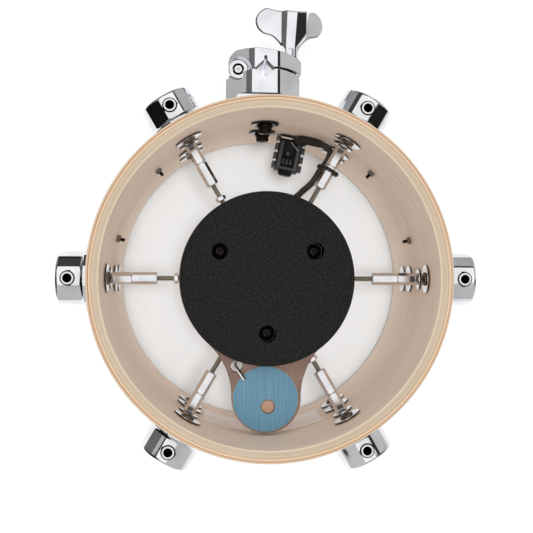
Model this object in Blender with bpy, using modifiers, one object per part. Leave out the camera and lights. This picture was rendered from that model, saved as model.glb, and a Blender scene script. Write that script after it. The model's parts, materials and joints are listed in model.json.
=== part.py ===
"""Electronic tom drum with a ten inch wooden shell, open at one end, standing on its batter hoop.

Metres, +Z up. The origin is the centre of the batter head's playing face, which looks down.
+Z runs up the drum's axis to the open end, and +Y points to the tom bracket.
"""

import math

import bmesh
import bpy
from mathutils import Matrix, Vector

# Clearance between neighbours, and how far a cutter runs past what it cuts
GAP = 0.0003
PAST = 0.003

# Driving dimensions of the drum
SHELL_RADIUS = 0.127
SHELL_WALL = 0.0085
SHELL_LENGTH = 0.165
HEAD_THICKNESS = 0.0008
LUG_COUNT = 6
SHELL_SEGMENTS = 60
RING_SEGMENTS = 48

SHELL_LOW = HEAD_THICKNESS + GAP
RIM = SHELL_LOW + SHELL_LENGTH
SHELL_INNER = SHELL_RADIUS - SHELL_WALL
LUG_ANGLES = [math.tau * i / LUG_COUNT for i in range(LUG_COUNT)]

# Bearing edges: a narrow flat peak, cut at 45 degrees on both sides
PEAK_OUTER = 0.1246
PEAK_INNER = 0.1238

# Batter hoop, as the middle line of the bent sheet
HOOP_SHEET = 0.002
HOOP_RIM_Z = -0.011
HOOP_NECK_RADIUS = 0.1306
HOOP_STEP_Z = 0.0022
HOOP_COLLAR_RADIUS = 0.1362
HOOP_FLANGE_Z = 0.013
HOOP_FLANGE_RADIUS = 0.142
HOOP_LIP_RADIUS = 0.1352
EAR_RADIUS = 0.0085
EAR_THICKNESS = 0.0016
EAR_HOLE = 0.0035

# Batter head: its cloth turns up round the shell and hangs from the flesh hoop
HEAD_SKIRT = 0.1282
HEAD_SKIRT_TOP = 0.009
HEAD_CORNER = 0.0016
FLESH_OUTER = 0.1346
FLESH_INNER = 0.1297
FLESH_LOW = 0.0035
FLESH_TOP = 0.012

# Lugs and what screws into them
LUG_RADIUS = 0.0195
LUG_ROUNDING = 0.002
LUG_FLANGE = 0.0208
LUG_FLANGE_HEIGHT = 0.0032
LUG_HEIGHT = 0.0269
LUG_SCREW_SPACING = 0.023
BOTTOM_LUG_Z = RIM - 0.054
TOP_LUG_Z = RIM - 0.108
ROD_CIRCLE = 0.1444
ROD_RADIUS = 0.00245
ROD_TIP_Z = 0.058
ROD_WASHER = 0.0062
ROD_WASHER_THICKNESS = 0.0012
ROD_COLLAR = 0.0052
ROD_COLLAR_HEIGHT = 0.0028
ROD_SQUARE_CORNER = 0.0042
ROD_SQUARE_LENGTH = 0.008
NUT_BARREL = 0.00525
NUT_HOLE = 0.003
NUT_DEPTH = 0.024
NUT_PROUD = 0.001
M4 = 0.0021
M4_HOLE = 0.0028
LUG_SCREW_REACH = SHELL_RADIUS + 0.009
LUG_SCREW_HOLE_END = SHELL_RADIUS + 0.0098
SCREW_HEAD = 0.005
SCREW_HEAD_HEIGHT = 0.0024
BIG_WASHER = 0.0105
BIG_WASHER_THICKNESS = 0.0012
SMALL_WASHER = 0.00785
SMALL_WASHER_THICKNESS = 0.001

# Struts from the shell to the trigger plate
STRUT_Z = BOTTOM_LUG_Z - LUG_SCREW_SPACING / 2
STANDOFF_FLATS = 0.008
STANDOFF_ENDS = {
    0: (0.1006, 0.0812), 60: (0.0991, 0.0803), 120: (0.1002, 0.0816),
    180: (0.1014, 0.0826), 240: (0.1004, 0.0823), 300: (0.1005, 0.0810),
}
STANDOFF_STUD = 0.0019
STANDOFF_STUD_LENGTH = 0.008
STANDOFF_HOLE = 0.0027
STANDOFF_HOLE_DEPTH = 0.0095
STRUT_ROD = 0.002
STRUT_ROD_INNER_END = 0.056
JAM_NUT_FLATS = 0.007
JAM_NUT_THICKNESS = 0.003
JAM_NUTS = {120: 0.0698, 180: 0.0682, 300: 0.0707}

# Trigger plate, its foam and the rim sensor
PLATE_RADIUS = 0.066
PLATE_THICKNESS = 0.009
PLATE_Z = RIM - 0.0662
PLATE_TOP = PLATE_Z + PLATE_THICKNESS / 2
PLATE_LOW = PLATE_Z - PLATE_THICKNESS / 2
TAB_CENTRE_Y = -0.0906
TAB_RADIUS = 0.0262
TAB_FILLET = 0.030
WIRE_HOLE = (-0.0223, -0.0666)
WIRE_HOLE_RADIUS = 0.0045
FOAM_RADIUS = 0.065
FOAM_TOP = RIM - 0.0474
FOAM_HOLE = 0.0065
TOWER_CIRCLE = 0.041
TOWER_ANGLES = [math.radians(a) for a in (30, 150, 270)]
RIM_SENSOR_Y = -0.0908
PIEZO_RADIUS = 0.025
PIEZO_THICKNESS = 0.0005
COVER_RADIUS = 0.0247
COVER_THICKNESS = 0.0008
COVER_SPOT = (0.0018, -0.0063)
COVER_SPOT_RADIUS = 0.00535

# Head sensor tower
M3 = 0.0015
M3_HOLE = 0.0021
M3_HEAD = 0.00275
M3_HEAD_HEIGHT = 0.003
TOWER_SCREW_LENGTH = 0.0085
TOWER_FLATS = 0.0055
CARRIER_RADIUS = 0.050
CARRIER_THICKNESS = 0.003
CARRIER_LOW = 0.0273
CARRIER_WIRE_HOLE = (-0.017, 0.012)
CARRIER_WIRE_HOLE_RADIUS = 0.003
CARRIER_SCREW_DROP = 0.002
CONE_TOP_RADIUS = 0.020
CONE_TIP_RADIUS = 0.008
CONE_RIM = 0.0036

# Output jack and its cable
JACK_ANGLE = math.radians(78.5)
JACK_Z = RIM - 0.111
JACK_BUSHING = 0.0048
JACK_BORE = 0.0034
JACK_OUTER_END = 0.1335
JACK_WIDTH = 0.019
JACK_HEIGHT = 0.016
JACK_INNER_FACE = 0.0895
JACK_TIP_RADIUS = 0.0058
JACK_TIP_END = 0.0858
JACK_SHELL_HOLE = 0.0056
JACK_WALL = 0.0012
JACK_NUT_FLATS = 0.0127
JACK_NUT_HEIGHT = 0.0038
JACK_NUT_HOLE = 0.0054
JACK_WASHER = 0.0076
JACK_WASHER_THICKNESS = 0.001
CONTACT_RADII = (0.0962, 0.1037, 0.1112)
CONTACT_LENGTH = 0.0026
CONTACT_WIDTH = 0.003
CONTACT_THICKNESS = 0.0024
CABLE_RADIUS = 0.0025
CABLE_STEP = 0.011
CABLE_ROUTE = [
    (0.0262, 0.1108, 0.0673), (0.0300, 0.1112, 0.0700), (0.0364, 0.1096, 0.0741),
    (0.0445, 0.1058, 0.0821), (0.0492, 0.1012, 0.0900), (0.0493, 0.0955, 0.0944),
    (0.0460, 0.0890, 0.0948), (0.0426, 0.0851, 0.0941), (0.0360, 0.0746, 0.0921),
    (0.0270, 0.0664, 0.0891), (0.0180, 0.0560, 0.0881), (0.0120, 0.0300, 0.0881),
    (0.0040, 0.0050, 0.0881), (-0.0040, -0.0200, 0.0881), (-0.0080, -0.0340, 0.0881),
]
LEAD_RADIUS = 0.0012
LEAD_STEP = 0.012
RIM_LEAD_ROUTE = [
    (-0.0090, -0.0350, 0.0881), (-0.0130, -0.0450, 0.0880), (-0.0200, -0.0590, 0.0885),
    (-0.0232, -0.0650, 0.0930), (-0.0230, -0.0664, 0.1000), (-0.0221, -0.0680, 0.1062),
    (-0.0190, -0.0722, 0.1082), (-0.0166, -0.0758, 0.1076),
]
HEAD_LEAD_ROUTE = [
    (-0.0070, -0.0350, 0.0881), (-0.0060, -0.0380, 0.0870), (-0.0050, -0.0370, 0.0800),
    (-0.0100, -0.0200, 0.0600), (-0.0160, 0.0050, 0.0450), (-0.0170, 0.0120, 0.0350),
    (-0.0170, 0.0120, 0.0272),
]
TIE_RADIUS = 0.0958
TIE_WIDTH = 0.0025
TIE_THICKNESS = 0.001
TIE_CABLE = (0.0065, 0.0057)
TIE_STANDOFF_SLACK = 0.0006
TIE_CABLE_SLACK = 0.0008
TIE_HEAD_WIDTH = 0.004
TIE_HEAD_HEIGHT = 0.0022

# Tom bracket: outlines are (across, height above the shell), lengths run along the drum
BOLT_DEPTHS = (0.0618, 0.099)
BOLT_ANGLE = math.radians(90.8)
BOLT_RADIUS = 0.003
BOLT_HOLE = 0.0037
BOLT_HEAD = 0.005
BOLT_HEAD_HEIGHT = 0.0065
BOLT_REACH = SHELL_RADIUS + 0.0145
BOLT_HOLE_END = SHELL_RADIUS + 0.0155
GASKET_INNER = SHELL_RADIUS + GAP
GASKET_OUTER = GASKET_INNER + 0.0009
GASKET_LENGTH = 0.046
SADDLE_RADIUS = GASKET_OUTER + GAP
BRACKET_Z = RIM - 0.080
BLOCK_LENGTH = 0.047
PLATE_LENGTH = 0.0454
FOOT_LENGTH = 0.0512
SIDE_SLOPE = [(-0.0340, 0.0120), (-0.0150, 0.0200), (0.0100, 0.0200), (0.0290, 0.0120)]
BASE_PLATE = [(-0.0315, -0.0050), (0.0252, -0.0050), (0.0252, 0.0045), (-0.0315, 0.0045)]
BASE_FOOT = [
    (-0.0234, -0.0040), (0.0112, -0.0040), (0.0112, 0.0122), (0.0020, 0.0134),
    (-0.0100, 0.0136), (-0.0200, 0.0122), (-0.0234, 0.0105),
]
BASE_SIDE = [
    (-0.0312, -0.0046), (0.0249, -0.0046), (0.0249, 0.0262), (0.0207, 0.0292),
    (0.0142, 0.0309), (0.0076, 0.0316), (-0.0128, 0.0312), (-0.0208, 0.0290),
    (-0.0292, 0.0275), (-0.0312, 0.0250),
]
BASE_BLOCK = [(-0.0152, -0.0043), (0.0103, -0.0043), (0.0103, 0.0307), (-0.0152, 0.0303)]
JAW_SIDE = [
    (-0.0128, 0.0318), (0.0076, 0.0327), (0.0142, 0.0323), (0.0209, 0.0308),
    (0.0261, 0.0284), (0.0264, 0.0370), (0.0222, 0.0408), (0.0112, 0.0448),
    (-0.0018, 0.0469), (-0.0158, 0.0476), (-0.0242, 0.0464), (-0.0284, 0.0420),
    (-0.0300, 0.0355), (-0.0208, 0.0340),
]
JAW_BLOCK = [(-0.0136, 0.0324), (0.0107, 0.0334), (0.0107, 0.0445), (-0.0018, 0.0463), (-0.0136, 0.0470)]
ROD_WAY = [
    (-0.0102, 0.0312), (-0.0022, 0.0236), (0.0058, 0.0316), (-0.0003, 0.0378),
    (-0.0003, 0.0414), (-0.0027, 0.0414), (-0.0027, 0.0382),
]
HINGE = (-0.0221, 0.0315)
KNUCKLE_RADIUS = 0.0076
KNUCKLE_LENGTH = 0.0250
KNUCKLE_RECESS = 0.0083
KNUCKLE_SPAN = 0.0384
PIN_RADIUS = 0.0038
PIN_BORE = 0.0043
PIN_LENGTH = 0.0386

# Wing screw: its axis points away from the shell
WING_X = 0.0186
WING_SEAT = 0.0412
WING_WASHER = 0.0068
WING_WASHER_THICKNESS = 0.001
WING_SPOT_FACE = 0.0008
WING_SCREW_RADIUS = 0.0033
WING_SCREW_TIP = 0.016
WING_HOLE_END = 0.0145
WING_BASE_HOLE = 0.0040
WING_JAW_HOLE = 0.0051
WING_WASHER_HOLE = 0.0042
WING_HUB = 0.0052
WING_HUB_TOP = 0.0560
WING_HUB_TAPER = 0.006
WING_THICKNESS = 0.0036
WING_DROOP = math.tan(math.radians(14))
WING_RIDGE = (0.0040, 0.0044)
WING_RIDGE_FOOT = 0.0090
WING_SPAN = 0.0280
WING_TURN = math.radians(15)
LOBE_CENTRE = (0.0169, 0.0754)
LOBE_RADIUS = 0.0098
WING_NECK = [(0.0050, 0.0440), (0.0052, 0.0500), (0.0068, 0.0540), (0.0109, 0.0600), (0.0155, 0.0636)]
WING_TOP_MIDDLE = 0.0830

# Blank badge plates on the outside of the shell
BADGE_Z = RIM - 0.079
BADGE_ANGLES = [math.radians(a) for a in (30, 150)]
BADGE_SCREW_SPREAD = math.radians(15)
BADGE_HALF_WIDTH = 0.0385
BADGE_HALF_HEIGHT = 0.0125
BADGE_CORNER = 0.006
BADGE_THICKNESS = 0.0012
BADGE_SCREW_HOLE = 0.002
BADGE_SCREW_END = 0.1122
BADGE_SCREW_HEAD = 0.0028
BADGE_SCREW_HEAD_HEIGHT = 0.0012
BADGE_NUT_FLATS = 0.0055
BADGE_NUT_THICKNESS = 0.0024


def start_scene():
    for obj in list(bpy.data.objects):
        bpy.data.objects.remove(obj, do_unlink=True)
    collections = {}
    for name in ("electronic_tom_drum", "cutters"):
        collections[name] = bpy.data.collections.new(name)
        bpy.context.scene.collection.children.link(collections[name])
    return collections["electronic_tom_drum"], collections["cutters"]


PARTS, CUTTERS = start_scene()


def finish(name, color, roughness, metallic=0.0):
    """A Principled material."""
    made = bpy.data.materials.new(name)
    made.use_nodes = True
    shader = made.node_tree.nodes["Principled BSDF"]
    shader.inputs["Base Color"].default_value = (*color, 1.0)
    shader.inputs["Roughness"].default_value = roughness
    shader.inputs["Metallic"].default_value = metallic
    return made


WOOD = finish("birch", (0.55, 0.42, 0.30), 0.55)
CHROME = finish("chrome", (0.80, 0.81, 0.83), 0.08, 1.0)
BLACK_METAL = finish("black_metal", (0.03, 0.03, 0.03), 0.45, 1.0)
BRASS = finish("brass", (0.75, 0.55, 0.32), 0.35, 1.0)
MESH_CLOTH = finish("woven_mesh", (0.82, 0.82, 0.80), 0.80)
ALUMINIUM = finish("aluminium", (0.70, 0.70, 0.70), 0.35, 1.0)
BOARD = finish("brown_board", (0.21, 0.14, 0.11), 0.60)
FOAM = finish("black_foam", (0.03, 0.03, 0.03), 0.95)
BLUE_FILM = finish("blue_film", (0.14, 0.30, 0.42), 0.40)
BLACK_PLASTIC = finish("black_plastic", (0.02, 0.02, 0.02), 0.45)
RUBBER = finish("rubber", (0.02, 0.02, 0.02), 0.80)


def show(name, data, material, matrix=None, collection=PARTS):
    """Put mesh or curve data into the scene as one named object."""
    obj = bpy.data.objects.new(name, data)
    obj.matrix_world = matrix or Matrix()
    collection.objects.link(obj)
    if material:
        data.materials.clear()
        data.materials.append(material)
    bpy.context.view_layer.update()
    return obj


def smooth(data):
    """Shade a round piece smooth, with its edges kept sharp."""
    data.shade_smooth()
    data.set_sharp_from_angle(angle=math.radians(35))


def baked(obj):
    """Take an object's evaluated mesh, in world space, and remove the object."""
    bpy.context.view_layer.update()
    depsgraph = bpy.context.evaluated_depsgraph_get()
    mesh = bpy.data.meshes.new_from_object(obj.evaluated_get(depsgraph))
    mesh.transform(obj.matrix_world)
    bpy.data.objects.remove(obj)
    return mesh


def closed(mesh):
    """Weld a mesh made from a curve, whose caps are loose, and face it outwards."""
    shape = bmesh.new()
    shape.from_mesh(mesh)
    bmesh.ops.remove_doubles(shape, verts=shape.verts, dist=0.000001)
    bmesh.ops.recalc_face_normals(shape, faces=shape.faces)
    shape.to_mesh(mesh)
    shape.free()
    return mesh


def turned_object(name, profile, steps, material=None, collection=PARTS):
    """A profile of (radius, height) points turned about Z, running down its outer side.

    A profile that starts on the axis is a full body, and any other one closes into a ring.
    """
    shape = bmesh.new()
    points = [shape.verts.new((radius, 0, height)) for radius, height in profile]
    for first, second in zip(points, points[1:]):
        shape.edges.new((first, second))
    if profile[0][0] > 0:
        shape.edges.new((points[-1], points[0]))
    mesh = bpy.data.meshes.new(name)
    shape.to_mesh(mesh)
    shape.free()
    obj = show(name, mesh, material, collection=collection)
    screw = obj.modifiers.new("turn", "SCREW")
    screw.steps = steps
    screw.render_steps = steps
    screw.use_merge_vertices = True
    screw.merge_threshold = 0.000001
    screw.use_smooth_shade = True
    return obj


def turned(profile, steps):
    """The mesh of a turned profile."""
    mesh = baked(turned_object("turned", profile, steps, collection=CUTTERS))
    smooth(mesh)
    return mesh


def rod(radius, low, high, steps):
    """The mesh of a plain cylinder along Z."""
    return turned([(0, high), (radius, high), (radius, low), (0, low)], steps)


def ring(radius, hole, low, high, steps):
    """The mesh of a washer along Z."""
    return turned([(radius, high), (radius, low), (hole, low), (hole, high)], steps)


def corner(flats):
    """Radius to the corners of a hexagon of that width across its flats."""
    return flats / 2 / math.cos(math.radians(30))


def box(low, high):
    """The mesh of a box between two corners."""
    shape = bmesh.new()
    bmesh.ops.create_cube(shape, size=1.0)
    size = Vector(high) - Vector(low)
    middle = (Vector(high) + Vector(low)) / 2
    placed = Matrix.Translation(middle) @ Matrix.Diagonal(size).to_4x4()
    bmesh.ops.transform(shape, matrix=placed, verts=shape.verts)
    mesh = bpy.data.meshes.new("box")
    shape.to_mesh(mesh)
    shape.free()
    return mesh


def slab(outlines, low, high):
    """The mesh of flat outlines, the first with the others as holes in it, between two heights."""
    curve = bpy.data.curves.new("slab", "CURVE")
    curve.dimensions = "2D"
    curve.fill_mode = "BOTH"
    curve.extrude = (high - low) / 2
    for outline in outlines:
        spline = curve.splines.new("POLY")
        spline.points.add(len(outline) - 1)
        for point, (x, y) in zip(spline.points, outline):
            point.co = (x, y, 0, 1)
        spline.use_cyclic_u = True
    obj = show("slab", curve, None, Matrix.Translation((0, 0, (low + high) / 2)), CUTTERS)
    return closed(baked(obj))


def joined(mesh, matrices):
    """One mesh holding a copy of another at each of the matrices, as separate bodies."""
    shape = bmesh.new()
    for matrix in matrices:
        copy = mesh.copy()
        copy.transform(matrix)
        shape.from_mesh(copy)
        bpy.data.meshes.remove(copy)
    whole = bpy.data.meshes.new(mesh.name)
    shape.to_mesh(whole)
    shape.free()
    return whole


def combine(obj, mesh, operation="DIFFERENCE", matrix=None):
    """Cut a mesh out of an object, or join it on, with a Boolean modifier."""
    cutter = show(f"{obj.name}_{operation.lower()}_{len(obj.modifiers)}", mesh, None, matrix, CUTTERS)
    cutter.hide_render = True
    cutter.display_type = "WIRE"
    boolean = obj.modifiers.new(cutter.name, "BOOLEAN")
    boolean.operation = operation
    boolean.solver = "EXACT"
    boolean.object = cutter


def radial(angle, height, roll=0.0):
    """The matrix that turns +Z into the direction away from the drum's axis, at an angle and height."""
    turn = Matrix.Rotation(angle, 4, "Z") @ Matrix.Translation((0, 0, height))
    return turn @ Matrix.Rotation(math.pi / 2, 4, "Y") @ Matrix.Rotation(roll, 4, "Z")


def upright(angle, radius, height=0.0):
    """The matrix that moves a piece on the drum's axis out to a radius, at an angle."""
    return Matrix.Rotation(angle, 4, "Z") @ Matrix.Translation((radius, 0, height))


def along_y(x, z):
    """The matrix that turns +Z into +Y, on the line at x and z."""
    return Matrix.Translation((x, 0, z)) @ Matrix.Rotation(-math.pi / 2, 4, "X")


def wall_seat(radius):
    """How far from the axis a flat washer of this radius lies on the shell's inner wall."""
    flat_wall = SHELL_INNER * math.cos(math.pi / SHELL_SEGMENTS)
    return math.sqrt(flat_wall**2 - radius**2) - GAP


def arc(centre, radius, start, end, count):
    """Points on an arc, ends included, from one angle in degrees to another."""
    angles = [math.radians(start + (end - start) * i / count) for i in range(count + 1)]
    return [(centre[0] + radius * math.cos(a), centre[1] + radius * math.sin(a)) for a in angles]


def on_shell(outline):
    """Bracket outline points, given above the shell, in the drum's own frame."""
    return [(x, SHELL_RADIUS + height) for x, height in outline]


def route_points(route, step):
    """Points about a step apart on a smooth curve through the route's points."""
    ends = [Vector(p) for p in route]
    ends = [2 * ends[0] - ends[1]] + ends + [2 * ends[-1] - ends[-2]]
    points = []
    for before, start, end, after in zip(ends, ends[1:], ends[2:], ends[3:]):
        pieces = max(1, round((end - start).length / step))
        for i in range(pieces):
            t = i / pieces
            bend = (2 * before - 5 * start + 4 * end - after) * t**2
            twist = (3 * start - 3 * end + after - before) * t**3
            points.append((2 * start + (end - before) * t + bend + twist) / 2)
    return points + [ends[-2]]


def tube(route, radius, step):
    """The mesh of a round cable along a route."""
    curve = bpy.data.curves.new("tube", "CURVE")
    curve.dimensions = "3D"
    curve.bevel_depth = radius
    curve.bevel_resolution = 2
    curve.use_fill_caps = True
    points = route_points(route, step)
    spline = curve.splines.new("POLY")
    spline.points.add(len(points) - 1)
    for point, place in zip(spline.points, points):
        point.co = (*place, 1)
    mesh = closed(baked(show("tube", curve, None, None, CUTTERS)))
    smooth(mesh)
    return mesh


def make_shell():
    bevel_outer = SHELL_RADIUS - PEAK_OUTER
    bevel_inner = PEAK_INNER - SHELL_INNER
    profile = [
        (PEAK_OUTER, RIM), (SHELL_RADIUS, RIM - bevel_outer),
        (SHELL_RADIUS, SHELL_LOW + bevel_outer), (PEAK_OUTER, SHELL_LOW),
        (PEAK_INNER, SHELL_LOW), (SHELL_INNER, SHELL_LOW + bevel_inner),
        (SHELL_INNER, RIM - bevel_inner), (PEAK_INNER, RIM),
    ]
    shell = turned_object("shell", profile, SHELL_SEGMENTS, WOOD)
    start, end = SHELL_INNER - 2 * PAST, SHELL_RADIUS + 2 * PAST
    lug_holes = [radial(a, z) for a in LUG_ANGLES for z in screw_heights()]
    combine(shell, joined(rod(M4_HOLE, start, end, 6), lug_holes))
    combine(shell, joined(rod(BOLT_HOLE, start, end, 8), bolt_places()))
    combine(shell, joined(rod(BADGE_SCREW_HOLE, start, end, 6), badge_places()))
    combine(shell, rod(JACK_SHELL_HOLE, start, end, 12), matrix=radial(JACK_ANGLE, JACK_Z))


def screw_heights():
    """Heights of the four screws behind each pair of lugs, the strut's among them."""
    half = LUG_SCREW_SPACING / 2
    return [lug_z + side * half for lug_z in (BOTTOM_LUG_Z, TOP_LUG_Z) for side in (1, -1)]


def bolt_places():
    return [radial(BOLT_ANGLE, RIM - depth) for depth in BOLT_DEPTHS]


def badge_places():
    sides = (-BADGE_SCREW_SPREAD, BADGE_SCREW_SPREAD)
    return [radial(angle + side, BADGE_Z) for angle in BADGE_ANGLES for side in sides]


def make_batter_hoop():
    line = [
        (HOOP_LIP_RADIUS, HOOP_RIM_Z), (HOOP_NECK_RADIUS, HOOP_RIM_Z),
        (HOOP_NECK_RADIUS, HOOP_STEP_Z), (HOOP_COLLAR_RADIUS, HOOP_STEP_Z),
        (HOOP_COLLAR_RADIUS, HOOP_FLANGE_Z), (HOOP_FLANGE_RADIUS, HOOP_FLANGE_Z),
    ]
    shape = bmesh.new()
    points = [shape.verts.new((radius, 0, height)) for radius, height in line]
    for first, second in zip(points, points[1:]):
        shape.edges.new((first, second))
    mesh = bpy.data.meshes.new("batter_hoop")
    shape.to_mesh(mesh)
    shape.free()
    sheet = show("hoop_sheet", mesh, None, None, CUTTERS)
    screw = sheet.modifiers.new("turn", "SCREW")
    screw.steps = RING_SEGMENTS
    screw.render_steps = RING_SEGMENTS
    screw.use_merge_vertices = True
    screw.merge_threshold = 0.000001
    solidify = sheet.modifiers.new("sheet", "SOLIDIFY")
    solidify.thickness = HOOP_SHEET
    solidify.offset = 0.0
    solidify.use_even_offset = True
    hoop = show("batter_hoop", closed(baked(sheet)), CHROME)
    smooth(hoop.data)
    low = HOOP_FLANGE_Z - EAR_THICKNESS / 2
    ear = rod(EAR_RADIUS, low, low + EAR_THICKNESS, 16)
    hole = rod(EAR_HOLE, low - PAST, low + EAR_THICKNESS + PAST, 8)
    places = [upright(a, ROD_CIRCLE) for a in LUG_ANGLES]
    combine(hoop, joined(ear, places), "UNION")
    combine(hoop, joined(hole, places))


def make_head():
    thick = HEAD_THICKNESS
    outer = HEAD_SKIRT + thick
    profile = [
        (0, thick), (HEAD_SKIRT - HEAD_CORNER, thick), (HEAD_SKIRT, 2 * HEAD_CORNER),
        (HEAD_SKIRT, HEAD_SKIRT_TOP), (outer, HEAD_SKIRT_TOP), (outer, 2 * HEAD_CORNER - GAP),
        (outer - 1.25 * HEAD_CORNER, 0), (0, 0),
    ]
    turned_object("mesh_head", profile, RING_SEGMENTS, MESH_CLOTH)
    flesh = [
        (FLESH_OUTER, FLESH_TOP), (FLESH_OUTER, FLESH_LOW),
        (FLESH_INNER, FLESH_LOW), (FLESH_INNER, FLESH_TOP),
    ]
    turned_object("flesh_hoop", flesh, RING_SEGMENTS, ALUMINIUM)


def make_tension_rods():
    """Square-headed rods, each with its washer, that turn about their own axes."""
    washer_top = HOOP_FLANGE_Z - HOOP_SHEET / 2 - GAP
    collar_top = washer_top - ROD_WASHER_THICKNESS
    collar_low = collar_top - ROD_COLLAR_HEIGHT
    body = turned([
        (0, ROD_TIP_Z), (ROD_RADIUS, ROD_TIP_Z), (ROD_RADIUS, washer_top),
        (ROD_WASHER, washer_top), (ROD_WASHER, collar_top),
        (ROD_COLLAR, collar_top), (ROD_COLLAR, collar_low), (0, collar_low),
    ], 10)
    square = rod(ROD_SQUARE_CORNER, collar_low - ROD_SQUARE_LENGTH, collar_low + 0.001, 4)
    pattern = show("rod_pattern", body, None)
    combine(pattern, square, "UNION")
    mesh = baked(pattern)
    for number, angle in enumerate(LUG_ANGLES, 1):
        show(f"tension_rod_{number}", mesh, CHROME, upright(angle, ROD_CIRCLE))


def lug_pattern(screw_sides):
    """A round lug on the +X side of the shell, with its swivel nut opening up and its fixing screws."""
    face = SHELL_RADIUS + LUG_HEIGHT
    profile = [
        (0, face), (LUG_RADIUS - LUG_ROUNDING, face - GAP), (LUG_RADIUS, face - LUG_ROUNDING),
        (LUG_RADIUS, SHELL_RADIUS + LUG_FLANGE_HEIGHT + GAP),
        (LUG_FLANGE, SHELL_RADIUS + LUG_FLANGE_HEIGHT),
        (LUG_FLANGE, SHELL_RADIUS - PAST), (0, SHELL_RADIUS - PAST),
    ]
    lug = show("lug_pattern", turned(profile, 16), None, radial(0, 0))
    combine(lug, rod(SHELL_RADIUS + GAP, -2 * LUG_FLANGE, 2 * LUG_FLANGE, SHELL_SEGMENTS))
    nut_top = LUG_RADIUS + NUT_PROUD
    combine(lug, rod(NUT_BARREL, nut_top - 0.004, nut_top, 10), "UNION", upright(0, ROD_CIRCLE))
    combine(lug, rod(NUT_HOLE, LUG_RADIUS - NUT_DEPTH, nut_top + PAST, 8), matrix=upright(0, ROD_CIRCLE))
    seat = wall_seat(BIG_WASHER)
    under = seat - BIG_WASHER_THICKNESS
    head = under - SCREW_HEAD_HEIGHT
    screw = turned([
        (0, LUG_SCREW_REACH), (M4, LUG_SCREW_REACH), (M4, seat), (BIG_WASHER, seat),
        (BIG_WASHER, under), (SCREW_HEAD, under), (SCREW_HEAD, head), (0, head),
    ], 10)
    half = LUG_SCREW_SPACING / 2
    for side in screw_sides:
        combine(lug, screw, "UNION", radial(0, side * half))
    if -1 not in screw_sides:
        combine(lug, rod(M4_HOLE, SHELL_RADIUS - PAST, LUG_SCREW_HOLE_END, 6), matrix=radial(0, -half))
    mesh = baked(lug)
    smooth(mesh)
    return mesh


def make_lugs():
    """Twelve round lugs; the top row is turned over so that its nuts face the batter hoop.

    A strut takes the place of the lower screw of each bottom lug.
    """
    for row, height, flip, screw_sides in (
        ("bottom", BOTTOM_LUG_Z, 0.0, (1,)), ("top", TOP_LUG_Z, math.pi, (-1, 1)),
    ):
        mesh = lug_pattern(screw_sides)
        turn_over = Matrix.Rotation(flip, 4, "X")
        for number, angle in enumerate(LUG_ANGLES, 1):
            show(f"{row}_lug_{number}", mesh, CHROME, upright(angle, 0, height) @ turn_over)


def make_struts():
    """Each strut is two hexagonal standoffs and a threaded rod, screwed together end to end."""
    flat_to_open_end = math.radians(30)
    wide = corner(STANDOFF_FLATS)
    seat = wall_seat(SMALL_WASHER)
    under = seat - SMALL_WASHER_THICKNESS
    stud = turned([
        (0, LUG_SCREW_REACH), (M4, LUG_SCREW_REACH), (M4, seat), (SMALL_WASHER, seat),
        (SMALL_WASHER, under), (0, under),
    ], 10)
    for number, (degrees, (outer_end, inner_end)) in enumerate(STANDOFF_ENDS.items(), 1):
        place = radial(math.radians(degrees), STRUT_Z, flat_to_open_end)
        hole_end = outer_end + STANDOFF_HOLE_DEPTH
        outer = show(f"outer_standoff_{number}", turned([
            (0, under + 0.0004), (wide, under + 0.0004), (wide, outer_end),
            (STANDOFF_HOLE, outer_end), (STANDOFF_HOLE, hole_end), (0, hole_end),
        ], 6), CHROME, place)
        combine(outer, stud, "UNION", place)

        face = outer_end - GAP
        profile = [
            (0, face + STANDOFF_STUD_LENGTH), (STANDOFF_STUD, face + STANDOFF_STUD_LENGTH),
            (STANDOFF_STUD, face), (wide, face), (wide, inner_end), (STRUT_ROD, inner_end),
        ]
        if degrees in JAM_NUTS:
            nut_top = JAM_NUTS[degrees] + JAM_NUT_THICKNESS / 2
            nut_low = JAM_NUTS[degrees] - JAM_NUT_THICKNESS / 2
            nut = corner(JAM_NUT_FLATS)
            profile += [(STRUT_ROD, nut_top), (nut, nut_top), (nut, nut_low), (STRUT_ROD, nut_low)]
        profile += [(STRUT_ROD, STRUT_ROD_INNER_END), (0, STRUT_ROD_INNER_END)]
        show(f"inner_standoff_{number}", turned(profile, 6), CHROME, place)


def plate_outline():
    """Main disc with a round tab towards -Y, blended by a fillet that touches both."""
    to_disc = PLATE_RADIUS + TAB_FILLET
    to_tab = TAB_RADIUS + TAB_FILLET
    fillet_y = (to_disc**2 - to_tab**2 + TAB_CENTRE_Y**2) / (2 * TAB_CENTRE_Y)
    fillet_x = math.sqrt(to_disc**2 - fillet_y**2)
    at_disc = math.degrees(math.atan2(-fillet_y, -fillet_x))
    at_tab = math.degrees(math.atan2(TAB_CENTRE_Y - fillet_y, -fillet_x))
    disc_start = at_disc - 180
    tab_right = at_tab + 180
    outline = arc((0, 0), PLATE_RADIUS, disc_start, 180 - disc_start, 28)
    outline += arc((-fillet_x, fillet_y), TAB_FILLET, 180 - at_disc, -180 - at_tab, 4)[1:]
    outline += arc((0, TAB_CENTRE_Y), TAB_RADIUS, 180 - tab_right, tab_right + 360, 12)[1:]
    outline += arc((fillet_x, fillet_y), TAB_FILLET, at_tab + 360, at_disc, 4)[1:-1]
    return outline


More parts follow.
